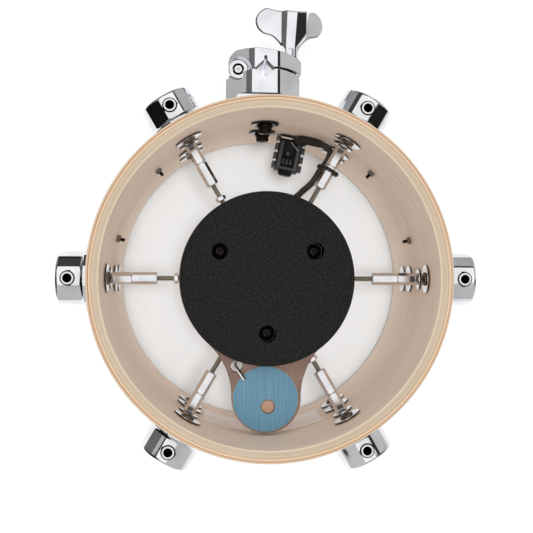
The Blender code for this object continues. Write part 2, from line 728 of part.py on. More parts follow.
def make_trigger_plate():
    wire_hole = arc(WIRE_HOLE, WIRE_HOLE_RADIUS, 0, 330, 11)
    plate = show("trigger_plate", slab([plate_outline(), wire_hole], PLATE_LOW, PLATE_TOP), BOARD)
    tower = [upright(a, TOWER_CIRCLE) for a in TOWER_ANGLES]
    combine(plate, joined(rod(M3_HOLE, PLATE_LOW - PAST, PLATE_TOP + PAST, 6), tower))
    strut_hole = rod(STANDOFF_HOLE, STRUT_ROD_INNER_END - 0.001, PLATE_RADIUS + 2 * PAST, 6)
    combine(plate, joined(strut_hole, [radial(a, STRUT_Z) for a in LUG_ANGLES]))

    foam_low = PLATE_TOP + GAP
    foam = show("foam_disc", rod(FOAM_RADIUS, foam_low, FOAM_TOP, 36), FOAM)
    combine(foam, joined(rod(FOAM_HOLE, foam_low - PAST, FOAM_TOP + PAST, 10), tower))


def make_rim_sensor():
    place = Matrix.Translation((0, RIM_SENSOR_Y, 0))
    piezo_low = PLATE_TOP + GAP
    piezo_top = piezo_low + PIEZO_THICKNESS
    show("rim_piezo", rod(PIEZO_RADIUS, piezo_low, piezo_top, 24), BRASS, place)
    cover_low = piezo_top + GAP
    outline = arc((0, 0), COVER_RADIUS, 0, 345, 23)
    spot = arc(COVER_SPOT, COVER_SPOT_RADIUS, 0, 324, 9)
    show("rim_piezo_cover", slab([outline, spot], cover_low, cover_low + COVER_THICKNESS), BLUE_FILM, place)


def make_head_sensor():
    """A tower below the plate, whose foam cone meets the middle of the mesh head."""
    top = PLATE_LOW - GAP
    low = CARRIER_LOW + CARRIER_THICKNESS + GAP
    wide = corner(TOWER_FLATS)
    head_low = PLATE_TOP + GAP
    screw_hole_top = low + TOWER_SCREW_LENGTH + 0.001
    standoff = turned([
        (0, head_low + M3_HEAD_HEIGHT), (M3_HEAD, head_low + M3_HEAD_HEIGHT), (M3_HEAD, head_low),
        (M3, head_low), (M3, top), (wide, top), (wide, low),
        (M3_HOLE, low), (M3_HOLE, screw_hole_top), (0, screw_hole_top),
    ], 6)
    places = [upright(a, TOWER_CIRCLE) for a in TOWER_ANGLES]
    for number, place in enumerate(places, 1):
        show(f"tower_standoff_{number}", standoff, BRASS, place)

    carrier_top = CARRIER_LOW + CARRIER_THICKNESS
    carrier = show("sensor_carrier", rod(CARRIER_RADIUS, CARRIER_LOW, carrier_top, 32), BOARD)
    screw_top = low + TOWER_SCREW_LENGTH
    screw_low = CARRIER_LOW - CARRIER_SCREW_DROP
    neck = carrier_top - CARRIER_THICKNESS / 3
    screw = turned([
        (0, screw_top), (M3, screw_top), (M3, neck), (M3_HEAD, neck), (M3_HEAD, screw_low), (0, screw_low),
    ], 6)
    for place in places:
        combine(carrier, screw, "UNION", place)
    wire_place = Matrix.Translation((*CARRIER_WIRE_HOLE, 0))
    wire_hole = rod(CARRIER_WIRE_HOLE_RADIUS, CARRIER_LOW - PAST, carrier_top + PAST, 8)
    combine(carrier, wire_hole, matrix=wire_place)

    piezo_top = CARRIER_LOW - GAP
    piezo_low = piezo_top - PIEZO_THICKNESS
    show("head_piezo", rod(PIEZO_RADIUS, piezo_low, piezo_top, 24), BRASS)
    cone_top = piezo_low - GAP
    cone_tip = HEAD_THICKNESS + GAP
    profile = [
        (0, cone_top), (CONE_TOP_RADIUS, cone_top), (CONE_TOP_RADIUS, cone_top - CONE_RIM),
        (CONE_TIP_RADIUS, cone_tip), (0, cone_tip),
    ]
    turned_object("foam_cone", profile, 16, FOAM)


def make_jack():
    place = radial(JACK_ANGLE, JACK_Z)
    wall = wall_seat(JACK_WIDTH / 2)
    low = (-JACK_HEIGHT / 2, -JACK_WIDTH / 2, JACK_INNER_FACE)
    high = (JACK_HEIGHT / 2, JACK_WIDTH / 2, wall)
    body = show("jack_body", box(low, high), BLACK_PLASTIC, place)
    combine(body, rod(JACK_BUSHING, wall - PAST, JACK_OUTER_END, 12), "UNION", place)
    combine(body, rod(JACK_TIP_RADIUS, JACK_TIP_END, JACK_INNER_FACE + PAST, 12), "UNION", place)
    across, half, along = CONTACT_WIDTH / 2, JACK_WIDTH / 2 + CONTACT_LENGTH, CONTACT_THICKNESS / 2
    for distance in CONTACT_RADII:
        contact = box((-across, -half, distance - along), (across, half, distance + along))
        combine(body, contact, "UNION", place)
    combine(body, rod(JACK_BORE, JACK_INNER_FACE + JACK_WALL, JACK_OUTER_END + PAST, 12), matrix=place)

    washer_low = SHELL_RADIUS + GAP
    washer = rod(JACK_WASHER, washer_low, washer_low + JACK_WASHER_THICKNESS, 12)
    nut = show("jack_nut", washer, CHROME, place)
    nut_low, nut_top = washer_low + JACK_WASHER_THICKNESS / 2, washer_low + JACK_NUT_HEIGHT
    combine(nut, rod(corner(JACK_NUT_FLATS), nut_low, nut_top, 6), "UNION", place)
    combine(nut, rod(JACK_NUT_HOLE, washer_low - PAST, nut_top + PAST, 12), matrix=place)


def belt(first, first_radius, second, second_radius, count):
    """The outline of a band drawn tight round two circles."""
    across = Vector(second) - Vector(first)
    heading = math.degrees(math.atan2(across.y, across.x))
    spread = math.degrees(math.acos((first_radius - second_radius) / across.length))
    outline = arc(first, first_radius, heading + spread, heading + 360 - spread, count)
    return outline + arc(second, second_radius, heading - spread, heading + spread, count)


def make_cables():
    show("signal_cable", tube(CABLE_ROUTE, CABLE_RADIUS, CABLE_STEP), BLACK_PLASTIC)
    show("rim_piezo_lead", tube(RIM_LEAD_ROUTE, LEAD_RADIUS, LEAD_STEP), BLACK_PLASTIC)
    show("head_piezo_lead", tube(HEAD_LEAD_ROUTE, LEAD_RADIUS, LEAD_STEP), BLACK_PLASTIC)

    standoff_hold = corner(STANDOFF_FLATS) + TIE_STANDOFF_SLACK
    cable_hold = CABLE_RADIUS + TIE_CABLE_SLACK
    inside = belt((0, 0), standoff_hold, TIE_CABLE, cable_hold, 6)
    outside = belt((0, 0), standoff_hold + TIE_THICKNESS, TIE_CABLE, cable_hold + TIE_THICKNESS, 6)
    low = TIE_RADIUS - TIE_WIDTH / 2
    place = radial(math.radians(60), STRUT_Z)
    tie = show("cable_tie", slab([outside, inside], low, low + TIE_WIDTH), BLACK_PLASTIC, place)
    outer = standoff_hold + TIE_THICKNESS
    half = TIE_HEAD_WIDTH / 2
    head_low = (-half, -outer - TIE_HEAD_HEIGHT, low - GAP)
    head_high = (half, -outer + TIE_THICKNESS / 2, low + TIE_WIDTH + GAP)
    combine(tie, box(head_low, head_high), "UNION", place)


def bracket_slab(outline, length):
    return slab([on_shell(outline)], BRACKET_Z - length / 2, BRACKET_Z + length / 2)


def hinge_cylinder(radius, low, high, steps):
    mesh = rod(radius, low, high, steps)
    mesh.transform(Matrix.Translation((HINGE[0], SHELL_RADIUS + HINGE[1], BRACKET_Z)))
    return mesh


def along_the_screw(outline, low, high):
    """A slab whose outline is (across, along the drum) and whose length points away from the shell."""
    mesh = slab([outline], -SHELL_RADIUS - high, -SHELL_RADIUS - low)
    mesh.transform(Matrix.Rotation(math.pi / 2, 4, "X"))
    return mesh


def bracket_side(outline):
    """The bracket's body, whose two ends slope away on either side of the middle block."""
    body = show("side_pattern", bracket_slab(outline, BLOCK_LENGTH), None)
    profile = [(x, BRACKET_Z + z) for x, z in SIDE_SLOPE]
    profile += [(x, BRACKET_Z - z) for x, z in reversed(SIDE_SLOPE)]
    combine(body, along_the_screw(profile, -0.010, 0.060), "INTERSECT")
    return baked(body)


def make_bracket_base():
    base = show("bracket_base", bracket_side(BASE_SIDE), CHROME)
    combine(base, bracket_slab(BASE_PLATE, PLATE_LENGTH), "UNION")
    combine(base, bracket_slab(BASE_BLOCK, BLOCK_LENGTH), "UNION")
    combine(base, bracket_slab(BASE_FOOT, FOOT_LENGTH), "UNION")
    half = KNUCKLE_SPAN / 2
    combine(base, hinge_cylinder(KNUCKLE_RADIUS, -half, half, 16), "UNION")
    recess = KNUCKLE_LENGTH / 2 + GAP
    combine(base, hinge_cylinder(KNUCKLE_RECESS, -recess, recess, 16))
    combine(base, hinge_cylinder(PIN_BORE, -BLOCK_LENGTH, BLOCK_LENGTH, 12))
    combine(base, bracket_slab(ROD_WAY, BLOCK_LENGTH + 2 * PAST))
    combine(base, rod(SADDLE_RADIUS, BRACKET_Z - BLOCK_LENGTH, BRACKET_Z + BLOCK_LENGTH, SHELL_SEGMENTS))
    combine(base, joined(rod(BOLT_HOLE, SHELL_RADIUS - 2 * PAST, BOLT_HOLE_END, 8), bolt_places()))
    screw_hole = rod(WING_BASE_HOLE, SHELL_RADIUS + WING_HOLE_END, SHELL_RADIUS + WING_SEAT, 8)
    combine(base, screw_hole, matrix=along_y(WING_X, BRACKET_Z))


def make_bracket_jaw():
    """The jaw turns about the hinge pin, where its origin is."""
    middle = Matrix.Translation((HINGE[0], SHELL_RADIUS + HINGE[1], BRACKET_Z))
    body = bracket_side(JAW_SIDE)
    body.transform(middle.inverted())
    jaw = show("bracket_jaw", body, CHROME, middle)
    combine(jaw, bracket_slab(JAW_BLOCK, BLOCK_LENGTH), "UNION")
    half = KNUCKLE_LENGTH / 2
    combine(jaw, hinge_cylinder(KNUCKLE_RADIUS, -half, half, 16), "UNION")
    for side in (-1, 1):
        near, far = side * half, side * BLOCK_LENGTH
        combine(jaw, hinge_cylinder(KNUCKLE_RECESS, min(near, far), max(near, far), 16))
    combine(jaw, hinge_cylinder(PIN_BORE, -BLOCK_LENGTH, BLOCK_LENGTH, 12))
    combine(jaw, bracket_slab(ROD_WAY, BLOCK_LENGTH + 2 * PAST))
    wing_axis = along_y(WING_X, BRACKET_Z)
    seat, past = SHELL_RADIUS + WING_SEAT, SHELL_RADIUS + WING_HUB_TOP
    combine(jaw, rod(WING_JAW_HOLE, SHELL_RADIUS, past, 10), matrix=wing_axis)
    combine(jaw, rod(WING_WASHER + WING_SPOT_FACE, seat, past, 12), matrix=wing_axis)


def make_bracket_fixings():
    pin = rod(PIN_RADIUS, -PIN_LENGTH / 2, PIN_LENGTH / 2, 12)
    show("hinge_pin", pin, CHROME, Matrix.Translation((HINGE[0], SHELL_RADIUS + HINGE[1], BRACKET_Z)))

    seat = wall_seat(BIG_WASHER)
    under = seat - BIG_WASHER_THICKNESS
    head = under - BOLT_HEAD_HEIGHT
    bolt = turned([
        (0, BOLT_REACH), (BOLT_RADIUS, BOLT_REACH), (BOLT_RADIUS, seat), (BIG_WASHER, seat),
        (BIG_WASHER, under), (BOLT_HEAD, under), (BOLT_HEAD, head), (0, head),
    ], 12)
    for number, place in enumerate(bolt_places(), 1):
        show(f"bracket_bolt_{number}", bolt, BLACK_METAL, place)

    low, high = BRACKET_Z - GASKET_LENGTH / 2, BRACKET_Z + GASKET_LENGTH / 2
    gasket = show("bracket_gasket", ring(GASKET_OUTER, GASKET_INNER, low, high, SHELL_SEGMENTS), RUBBER)
    left, right = BASE_SIDE[0][0] + 2 * GAP, BASE_SIDE[1][0] - 2 * GAP
    keep = box((left, SHELL_INNER / 2, low - PAST), (right, SHELL_RADIUS + 2 * PAST, high + PAST))
    combine(gasket, keep, "INTERSECT")
    combine(gasket, joined(rod(BOLT_HOLE, SHELL_RADIUS - 2 * PAST, BOLT_HOLE_END, 8), bolt_places()))


def wing_outline():
    """Butterfly outline about the screw's axis: across, and height above the shell."""
    lobe = arc(LOBE_CENTRE, LOBE_RADIUS, -68, 78, 8)
    right = WING_NECK + lobe
    left = [(-x, height) for x, height in reversed(right)]
    return right + [(0, WING_TOP_MIDDLE)] + left


def make_wing_screw():
    """The wing screw turns about its own axis, where its origin is."""
    washer_low = SHELL_RADIUS + WING_SEAT + GAP
    washer = ring(WING_WASHER, WING_WASHER_HOLE, washer_low, washer_low + WING_WASHER_THICKNESS, 12)
    show("wing_washer", washer, CHROME, along_y(WING_X, BRACKET_Z))

    hub_low = washer_low + WING_WASHER_THICKNESS + GAP
    tip = SHELL_RADIUS + WING_SCREW_TIP
    hub_top = SHELL_RADIUS + WING_HUB_TOP
    screw = show("wing_screw", turned([
        (0, hub_top), (WING_HUB / 2, hub_top), (WING_HUB, hub_top - WING_HUB_TAPER), (WING_HUB, hub_low),
        (WING_SCREW_RADIUS, hub_low), (WING_SCREW_RADIUS, tip), (0, tip),
    ], 10), CHROME, along_y(WING_X, BRACKET_Z))
    turn = Matrix.Translation((WING_X, 0, BRACKET_Z)) @ Matrix.Rotation(WING_TURN, 4, "Y")
    combine(screw, wing_mesh(), "UNION", turn)


def wing_mesh():
    """The wing about its axis: a ridge up the middle, and two lobes that droop away from it."""
    def droop(x):
        return WING_THICKNESS / 2 - WING_DROOP * x

    crown, height = WING_RIDGE
    top = [(crown, height), (WING_RIDGE_FOOT, droop(WING_RIDGE_FOOT)), (WING_SPAN, droop(WING_SPAN))]
    low = [(x, z - WING_THICKNESS) for x, z in reversed(top[1:])] + [(crown, -height)]
    right = top + low
    section = right + [(-x, z) for x, z in reversed(right)]
    wing = show("wing_pattern", slab([on_shell(wing_outline())], -WING_SPAN / 2, WING_SPAN / 2), None)
    combine(wing, along_the_screw(section, 0.040, 0.090), "INTERSECT")
    return baked(wing)


def rounded_rectangle(half_width, half_height, radius, count):
    corners = [(1, -1, -90), (1, 1, 0), (-1, 1, 90), (-1, -1, 180)]
    outline = []
    for x, y, start in corners:
        centre = (x * (half_width - radius), y * (half_height - radius))
        outline += arc(centre, radius, start, start + 90, count)
    return outline


def make_badges():
    """Blank plates bent to the shell, each with its two screws and their nuts inside the shell."""
    inner = SHELL_RADIUS + GAP
    outer = inner + BADGE_THICKNESS
    outline = rounded_rectangle(BADGE_HALF_HEIGHT, BADGE_HALF_WIDTH, BADGE_CORNER, 3)
    block = slab([outline], SHELL_RADIUS - BADGE_HALF_WIDTH / 2, SHELL_RADIUS + 2 * PAST)
    plate = show("badge_pattern", block, None, radial(0, 0))
    band = ring(outer, inner, -2 * BADGE_HALF_HEIGHT, 2 * BADGE_HALF_HEIGHT, SHELL_SEGMENTS)
    combine(plate, band, "INTERSECT")
    nut = corner(BADGE_NUT_FLATS)
    nut_seat = wall_seat(nut)
    nut_low = nut_seat - BADGE_NUT_THICKNESS
    head_low, head_top = outer - BADGE_THICKNESS / 2, outer + BADGE_SCREW_HEAD_HEIGHT
    screw = turned([
        (0, head_top), (BADGE_SCREW_HEAD, head_top), (BADGE_SCREW_HEAD, head_low), (M3, head_low),
        (M3, nut_seat), (nut, nut_seat), (nut, nut_low), (M3, nut_low),
        (M3, BADGE_SCREW_END), (0, BADGE_SCREW_END),
    ], 6)
    for side in (-BADGE_SCREW_SPREAD, BADGE_SCREW_SPREAD):
        combine(plate, screw, "UNION", radial(side, 0))
    mesh = baked(plate)
    for number, angle in enumerate(BADGE_ANGLES, 1):
        show(f"badge_plate_{number}", mesh, ALUMINIUM, upright(angle, 0, BADGE_Z))


make_shell()
make_batter_hoop()
make_head()
make_tension_rods()
make_lugs()
make_struts()
make_trigger_plate()
make_rim_sensor()
make_head_sensor()
make_jack()
make_cables()
make_bracket_base()
make_bracket_jaw()
make_bracket_fixings()
make_wing_screw()
make_badges()
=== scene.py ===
"""Looks for the electronic tom drum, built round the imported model.

Pieces are made in millimetres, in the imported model's frame: the batter head's playing face is at
z 0, +Z runs up to the open end, and +Y points to the tom bracket. add() scales them to metres.
"""
import json
from math import acos, atan2, cos, degrees, hypot, pi, radians, sin, sqrt, tan, tau

import bmesh
import bpy
from mathutils import Matrix, Vector, geometry, kdtree

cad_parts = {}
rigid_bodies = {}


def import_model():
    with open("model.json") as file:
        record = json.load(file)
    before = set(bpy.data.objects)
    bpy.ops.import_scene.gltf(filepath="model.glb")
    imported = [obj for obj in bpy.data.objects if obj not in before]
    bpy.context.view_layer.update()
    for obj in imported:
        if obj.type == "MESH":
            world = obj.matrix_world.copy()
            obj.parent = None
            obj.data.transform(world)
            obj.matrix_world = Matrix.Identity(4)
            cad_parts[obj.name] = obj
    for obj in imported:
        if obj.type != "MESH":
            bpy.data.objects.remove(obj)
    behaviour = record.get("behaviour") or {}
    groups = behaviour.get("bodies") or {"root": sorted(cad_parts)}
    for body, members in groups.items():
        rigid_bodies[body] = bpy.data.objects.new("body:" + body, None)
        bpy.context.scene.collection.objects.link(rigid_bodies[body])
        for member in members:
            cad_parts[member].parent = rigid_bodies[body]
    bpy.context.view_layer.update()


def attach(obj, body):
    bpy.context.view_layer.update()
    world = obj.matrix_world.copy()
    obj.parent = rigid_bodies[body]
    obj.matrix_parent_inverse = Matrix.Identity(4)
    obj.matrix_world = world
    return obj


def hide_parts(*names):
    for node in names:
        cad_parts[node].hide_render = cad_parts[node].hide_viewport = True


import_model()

# Main sizes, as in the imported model. OUTER and INNER are the radii of the shell's wall
GAP = 0.3
OUTER = 127.0
INNER = 118.5
SHELL_LOW = 1.1
RIM = 166.1
PEAK_OUTER = 124.6
PEAK_INNER = 123.8
ROD_CIRCLE = 144.4
HOOP_LIP = 13.0
ANGLES = [0, 60, 120, 180, 240, 300]
BOTTOM_LUG_Z = RIM - 54
TOP_LUG_Z = RIM - 108
SCREW_SPREAD = 11.5
WASHER_RADIUS = 10.5
STRUT_Z = BOTTOM_LUG_Z - SCREW_SPREAD
SCREW_ROWS = (BOTTOM_LUG_Z + SCREW_SPREAD, STRUT_Z, TOP_LUG_Z + SCREW_SPREAD, TOP_LUG_Z - SCREW_SPREAD)
PLATE_TOP = RIM - 61.7
PLATE_LOW = PLATE_TOP - 9
FOAM_TOP = RIM - 47.4
JACK_ANGLE = 78.5
JACK_Z = RIM - 111
BRACKET_Z = RIM - 80
BLOCK_LENGTH = 47.0
WING_X = 18.6
WING_SEAT = OUTER + 41.2
BOLTS = [(90.8, RIM - depth) for depth in (61.8, 99)]
BADGE_Z = RIM - 79
FLOOR_Z = -12.05


# Meshes

def shift(x, y, z):
    return Matrix.Translation((x, y, z))


def spin(angle, axis):
    return Matrix.Rotation(radians(angle), 4, axis)


def to_mesh(shape, outwards=True):
    """A mesh from a bmesh, with its faces turned outwards unless they already are."""
    if outwards:
        bmesh.ops.recalc_face_normals(shape, faces=shape.faces)
    mesh = bpy.data.meshes.new("part")
    shape.to_mesh(mesh)
    shape.free()
    return mesh


def new_object(name, data):
    made = bpy.data.objects.new(name, data)
    bpy.context.scene.collection.objects.link(made)
    return made


def evaluated(body):
    """The mesh of an object with its modifiers applied."""
    bpy.context.view_layer.update()
    return bpy.data.meshes.new_from_object(body.evaluated_get(bpy.context.evaluated_depsgraph_get()))


def strips(shape, rows, closed=True):
    """Faces between neighbouring rows of corners, which are rings when closed."""
    for first, second in zip(rows, rows[1:]):
        for i in range(len(first) - (not closed)):
            j = (i + 1) % len(first)
            shape.faces.new((first[i], first[j], second[j], second[i]))


def closed_sheet(shape, grids):
    """Two grids of corners, one behind the other, joined at their rims."""
    for grid in grids:
        strips(shape, grid, False)
    strips(shape, [
        g[0] + [row[-1] for row in g[1:]] + g[-1][-2::-1] + [row[0] for row in g[-2:0:-1]] for g in grids])
    return to_mesh(shape)


def bevel(shape, edges, width, segments=2, clamp=False):
    bmesh.ops.bevel(
        shape, geom=edges, offset=width, segments=segments, profile=0.5, affect="EDGES",
        clamp_overlap=clamp)


def rounded(points, closed=False, steps=5):
    """A line through 2-D points; a point's third number rounds its corner to that radius."""
    line = []
    for i, point in enumerate(points):
        radius = point[2] if len(point) > 2 else 0
        if not radius or not (closed or 0 < i < len(points) - 1):
            line.append(tuple(point[:2]))
            continue
        here = Vector(point[:2])
        back = (Vector(points[i - 1][:2]) - here).normalized()
        ahead = (Vector(points[(i + 1) % len(points)][:2]) - here).normalized()
        half = back.angle(ahead) / 2
        centre = here + (back + ahead).normalized() * (radius / sin(half))
        start = here + back * (radius / tan(half)) - centre
        end = here + ahead * (radius / tan(half)) - centre
        turn = start.angle_signed(end)
        for k in range(steps + 1):
            spoke = start.copy()
            spoke.rotate(Matrix.Rotation(-turn * k / steps, 2))
            line.append(tuple(centre + spoke))
    return line


def rounded_box(x, y, radius, steps):
    """Outline of a rectangle with rounded corners; x and y are half its sides."""
    return rounded([(x, -y, radius), (x, y, radius), (-x, y, radius), (-x, -y, radius)], True, steps)


def arc(centre, radius, start, end, count):
    """Points on an arc, ends included, between two angles in degrees."""
    angles = [radians(start + (end - start) * i / count) for i in range(count + 1)]
    return [(centre[0] + radius * cos(a), centre[1] + radius * sin(a)) for a in angles]


def circle(centre, radius, count):
    return arc(centre, radius, 0, 360 - 360 / count, count - 1)


def lathe(profile, count=64):
    """A profile of (radius, height) turned about Z. It closes on the axis, or into a ring."""
    shape = bmesh.new()
    turns = [tau * i / count for i in range(count)]
    rings = [
        [shape.verts.new((radius * cos(t), radius * sin(t), height)) for t in turns] if radius > 0
        else [shape.verts.new((0, 0, height))] * count for radius, height in profile]
    if profile[0][0] > 0 and profile[-1][0] > 0:
        rings.append(rings[0])
    for first, second in zip(rings, rings[1:]):
        for i in range(count):
            j = (i + 1) % count
            shape.faces.new(list(dict.fromkeys((first[i], first[j], second[j], second[i]))))
    return to_mesh(shape)


def turned(points, count=64, steps=5, closed=False):
    """A profile whose corners may be rounded, turned about Z."""
    return lathe(rounded(points, closed, steps), count)


def rod(radius, low, high, steps=64, edge=0.0):
    """A round bar with rounded ends."""
    return turned([(0, low), (radius, low, edge), (radius, high, edge), (0, high)], steps, 3)


def ring(outer, inner, low, high, steps=64, edge=0.15):
    return turned([
        (outer, low, edge), (outer, high, edge), (inner, high, edge), (inner, low, edge),
    ], steps, 2, True)


def prism(outline, low, high, edge=0.0):
    """A closed outline raised between two heights, with its rims rounded."""
    shape = bmesh.new()
    rims = [[shape.verts.new((x, y, z)) for x, y in outline] for z in (low, high)]
    caps = [shape.faces.new(rim) for rim in rims]
    strips(shape, rims)
    if edge:
        bevel(shape, list({e for cap in caps for e in cap.edges}), edge)
    return to_mesh(shape)


def box(low, high, edge=0.0):
    low, high = Vector(low), Vector(high)
    shape = bmesh.new()
    bmesh.ops.create_cube(
        shape, size=1.0, matrix=Matrix.Translation((low + high) / 2) @ Matrix.Diagonal(high - low).to_4x4())
    if edge:
        bevel(shape, list(shape.edges), edge)
    return to_mesh(shape)


def together(*meshes):
    """Separate bodies in one mesh."""
    shape = bmesh.new()
    for mesh in meshes:
        shape.from_mesh(mesh)
    return to_mesh(shape, False)


def moved(mesh, *matrices):
    """One mesh with a copy of another at each matrix."""
    copies = [mesh.copy() for _ in matrices]
    for copy, matrix in zip(copies, matrices):
        copy.transform(matrix)
    whole = together(*copies)
    bpy.data.batch_remove(copies)
    return whole


def boolean(mesh, *steps):
    """Cut ("-"), join ("+") or keep the overlap ("&") of a mesh with others, in turn."""
    names = {"-": "DIFFERENCE", "+": "UNION", "&": "INTERSECT"}
    made = [new_object("body", mesh)]
    for sign, other in steps:
        made.append(new_object("tool", other))
        step = made[0].modifiers.new("step", "BOOLEAN")
        step.operation, step.solver, step.object = names[sign], "EXACT", made[-1]
    shape = bmesh.new()
    shape.from_mesh(evaluated(made[0]))
    bpy.data.batch_remove(made)
    bmesh.ops.remove_doubles(shape, verts=shape.verts, dist=0.001)
    bmesh.ops.dissolve_degenerate(shape, dist=0.0005, edges=shape.edges)
    return to_mesh(shape, False)


def cut(mesh, *tools):
    return boolean(mesh, *[("-", tool) for tool in tools])


def softened(mesh, width, angle, segments):
    """Round the edges of a mesh that are sharper than an angle."""
    shape = bmesh.new()
    shape.from_mesh(mesh)
    sharp = [e for e in shape.edges if e.is_manifold and e.calc_face_angle() > radians(angle)]
    bevel(shape, sharp, width, segments, True)
    return to_mesh(shape)


def hex_corner(flats):
    """How far the corners of a hexagon are from its middle."""
    return flats / 2 / cos(radians(30))


def hexagon(flats):
    """Outline of a hexagon with a corner on +X."""
    return circle((0, 0), hex_corner(flats), 6)


def hex_bar(flats, low, high, hole=0.0, hole_depth=None):
    """A hexagonal bar turned down to a cone at both ends, with a hole from the low end."""
    corner = hex_corner(flats)
    drop = (corner - flats / 2) * 0.6 + 0.15
    steps = [("&", lathe([
        (0, low), (flats / 2 - 0.1, low), (corner + 0.1, low + drop), (corner + 0.1, high - drop),
        (flats / 2 - 0.1, high), (0, high),
    ], 48))]
    if hole:
        end = high + 1 if hole_depth is None else low + hole_depth
        steps.append(("-", lathe([
            (0, low - 1), (hole + 0.35, low - 0.1), (hole, low + 0.35), (hole, end), (0, end + hole / 2),
        ], 24)))
    return boolean(prism(hexagon(flats), low - 0.5, high + 0.5), *steps)


def thread(radius, pitch, low, high, steps=20, depth=None):
    """A threaded rod: its surface winds in and out as a screw thread does."""
    depth = depth or pitch * 0.5
    count = max(2, round((high - low) / pitch * 6))
    shape = bmesh.new()
    rings = []
    for k in range(count + 1):
        z = low + (high - low) * k / count
        fade = min(1.0, (z - low) / pitch, (high - z) / pitch)
        rings.append([])
        for turn in [i / steps for i in range(steps)]:
            wave = abs(((z / pitch - turn) % 1.0) * 2 - 1)
            r = radius - depth * (1 - wave) * fade - depth * 0.8 * (1 - fade)
            rings[-1].append(shape.verts.new((r * cos(tau * turn), r * sin(tau * turn), z)))
    strips(shape, rings)
    for end in (rings[0], rings[-1]):
        shape.faces.new(end)
    return to_mesh(shape)


def curved(route, spacing):
    """Points about a spacing apart on a smooth curve through a route's points."""
    ends = [Vector(p) for p in route]
    ends = [2 * ends[0] - ends[1]] + ends + [2 * ends[-1] - ends[-2]]
    points = []
    for before, start, end, after in zip(ends, ends[1:], ends[2:], ends[3:]):
        pieces = max(1, round((end - start).length / spacing))
        for i in range(pieces):
            t = i / pieces
            bend = (2 * before - 5 * start + 4 * end - after) * t**2
            twist = (3 * start - 3 * end + after - before) * t**3
            points.append((2 * start + (end - before) * t + bend + twist) / 2)
    return points + [ends[-2]]


def tube(route, radius, spacing=1.5, steps=16):
    """A round cable along a route; radius may be a list, one for each of the route's points."""
    points = curved(route, spacing)
    radii = radius if isinstance(radius, list) else [radius] * len(route)
    shape = bmesh.new()
    rings = []
    side = None
    for i, point in enumerate(points):
        ahead = (points[min(i + 1, len(points) - 1)] - points[max(i - 1, 0)]).normalized()
        side = side or ahead.cross(Vector((0, 0, 1))).normalized()
        side = (side - ahead * side.dot(ahead)).normalized()
        up = ahead.cross(side)
        share = i / (len(points) - 1) * (len(radii) - 1)
        low = min(int(share), len(radii) - 2)
        r = radii[low] + (radii[low + 1] - radii[low]) * (share - low)
        rings.append([shape.verts.new(point + (side * cos(t) + up * sin(t)) * r)
                      for t in [tau * k / steps for k in range(steps)]])
    strips(shape, rings)
    for row in (rings[0], rings[-1]):
        cap = shape.faces.new(row)
        bmesh.ops.inset_individual(shape, faces=[cap], thickness=radii[0] * 0.25, depth=radii[0] * 0.15)
    return to_mesh(shape)


def radial(angle, height, roll=0.0):
    """Turns +Z away from the drum's axis, at an angle in degrees and a height."""
    turn = spin(angle, "Z") @ shift(0, 0, height)
    return turn @ spin(90, "Y") @ spin(roll, "Z")


def upright(angle, radius, height=0.0):
    """Moves a piece on the drum's axis out to a radius, at an angle in degrees."""
    return spin(angle, "Z") @ shift(radius, 0, height)


def along_y(x, z):
    """Turns +Z into +Y, on the line at x and z."""
    return shift(x, 0, z) @ spin(-90, "X")


def wall_seat(radius):
    """How far from the axis a flat washer of this radius lies on the shell's inner wall."""
    return sqrt((INNER - 0.2) ** 2 - radius**2) - GAP


def marked(mesh, chosen):
    """Give a mesh's second finish to the faces whose middles are chosen."""
    for face in mesh.polygons:
        face.material_index = 1 if chosen(face.center) else 0
    return mesh


def off_axis(place):
    """How far a place is from the Z axis."""
    return hypot(place.x, place.y)


def keep_flats(mesh):
    """Shade a casting so that its large flat faces stay flat up to their rounded edges."""
    body = new_object("body", mesh)
    body.modifiers.new("normals", "WEIGHTED_NORMAL").keep_sharp = True
    shaded = evaluated(body)
    bpy.data.objects.remove(body)
    mesh.normals_split_custom_set([corner.vector.copy() for corner in shaded.corner_normals])
    bpy.data.meshes.remove(shaded)


def add(name, mesh, look, node=(), at=None, body="drum", angle=32, looks=(), flats=False):
    """Show a piece: scale its mesh to metres, shade it, and let it ride on its body."""
    if not mesh.get("in_metres"):
        mesh.transform(Matrix.Scale(0.001, 4))
        mesh["in_metres"] = 1
        mesh.shade_smooth()
        mesh.set_sharp_from_angle(angle=radians(angle))
        finishes = [face.material_index for face in mesh.polygons]
        mesh.materials.clear()
        for one in (look, *looks):
            mesh.materials.append(one)
        for face, finish in zip(mesh.polygons, finishes):
            face.material_index = min(finish, len(looks))
        if flats:
            keep_flats(mesh)
    obj = new_object(name, mesh)
    placed = at.copy() if at else Matrix()
    placed.translation *= 0.001
    obj.matrix_world = placed
    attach(obj, body)
    if node:
        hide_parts(node)
    return obj


# Materials

def srgb(color):
    """A colour as seen on screen, 0 to 255, as Blender's linear colour."""
    shares = [v / 255 for v in color]
    return (*[v / 12.92 if v <= 0.04045 else ((v + 0.055) / 1.055) ** 2.4 for v in shares], 1.0)


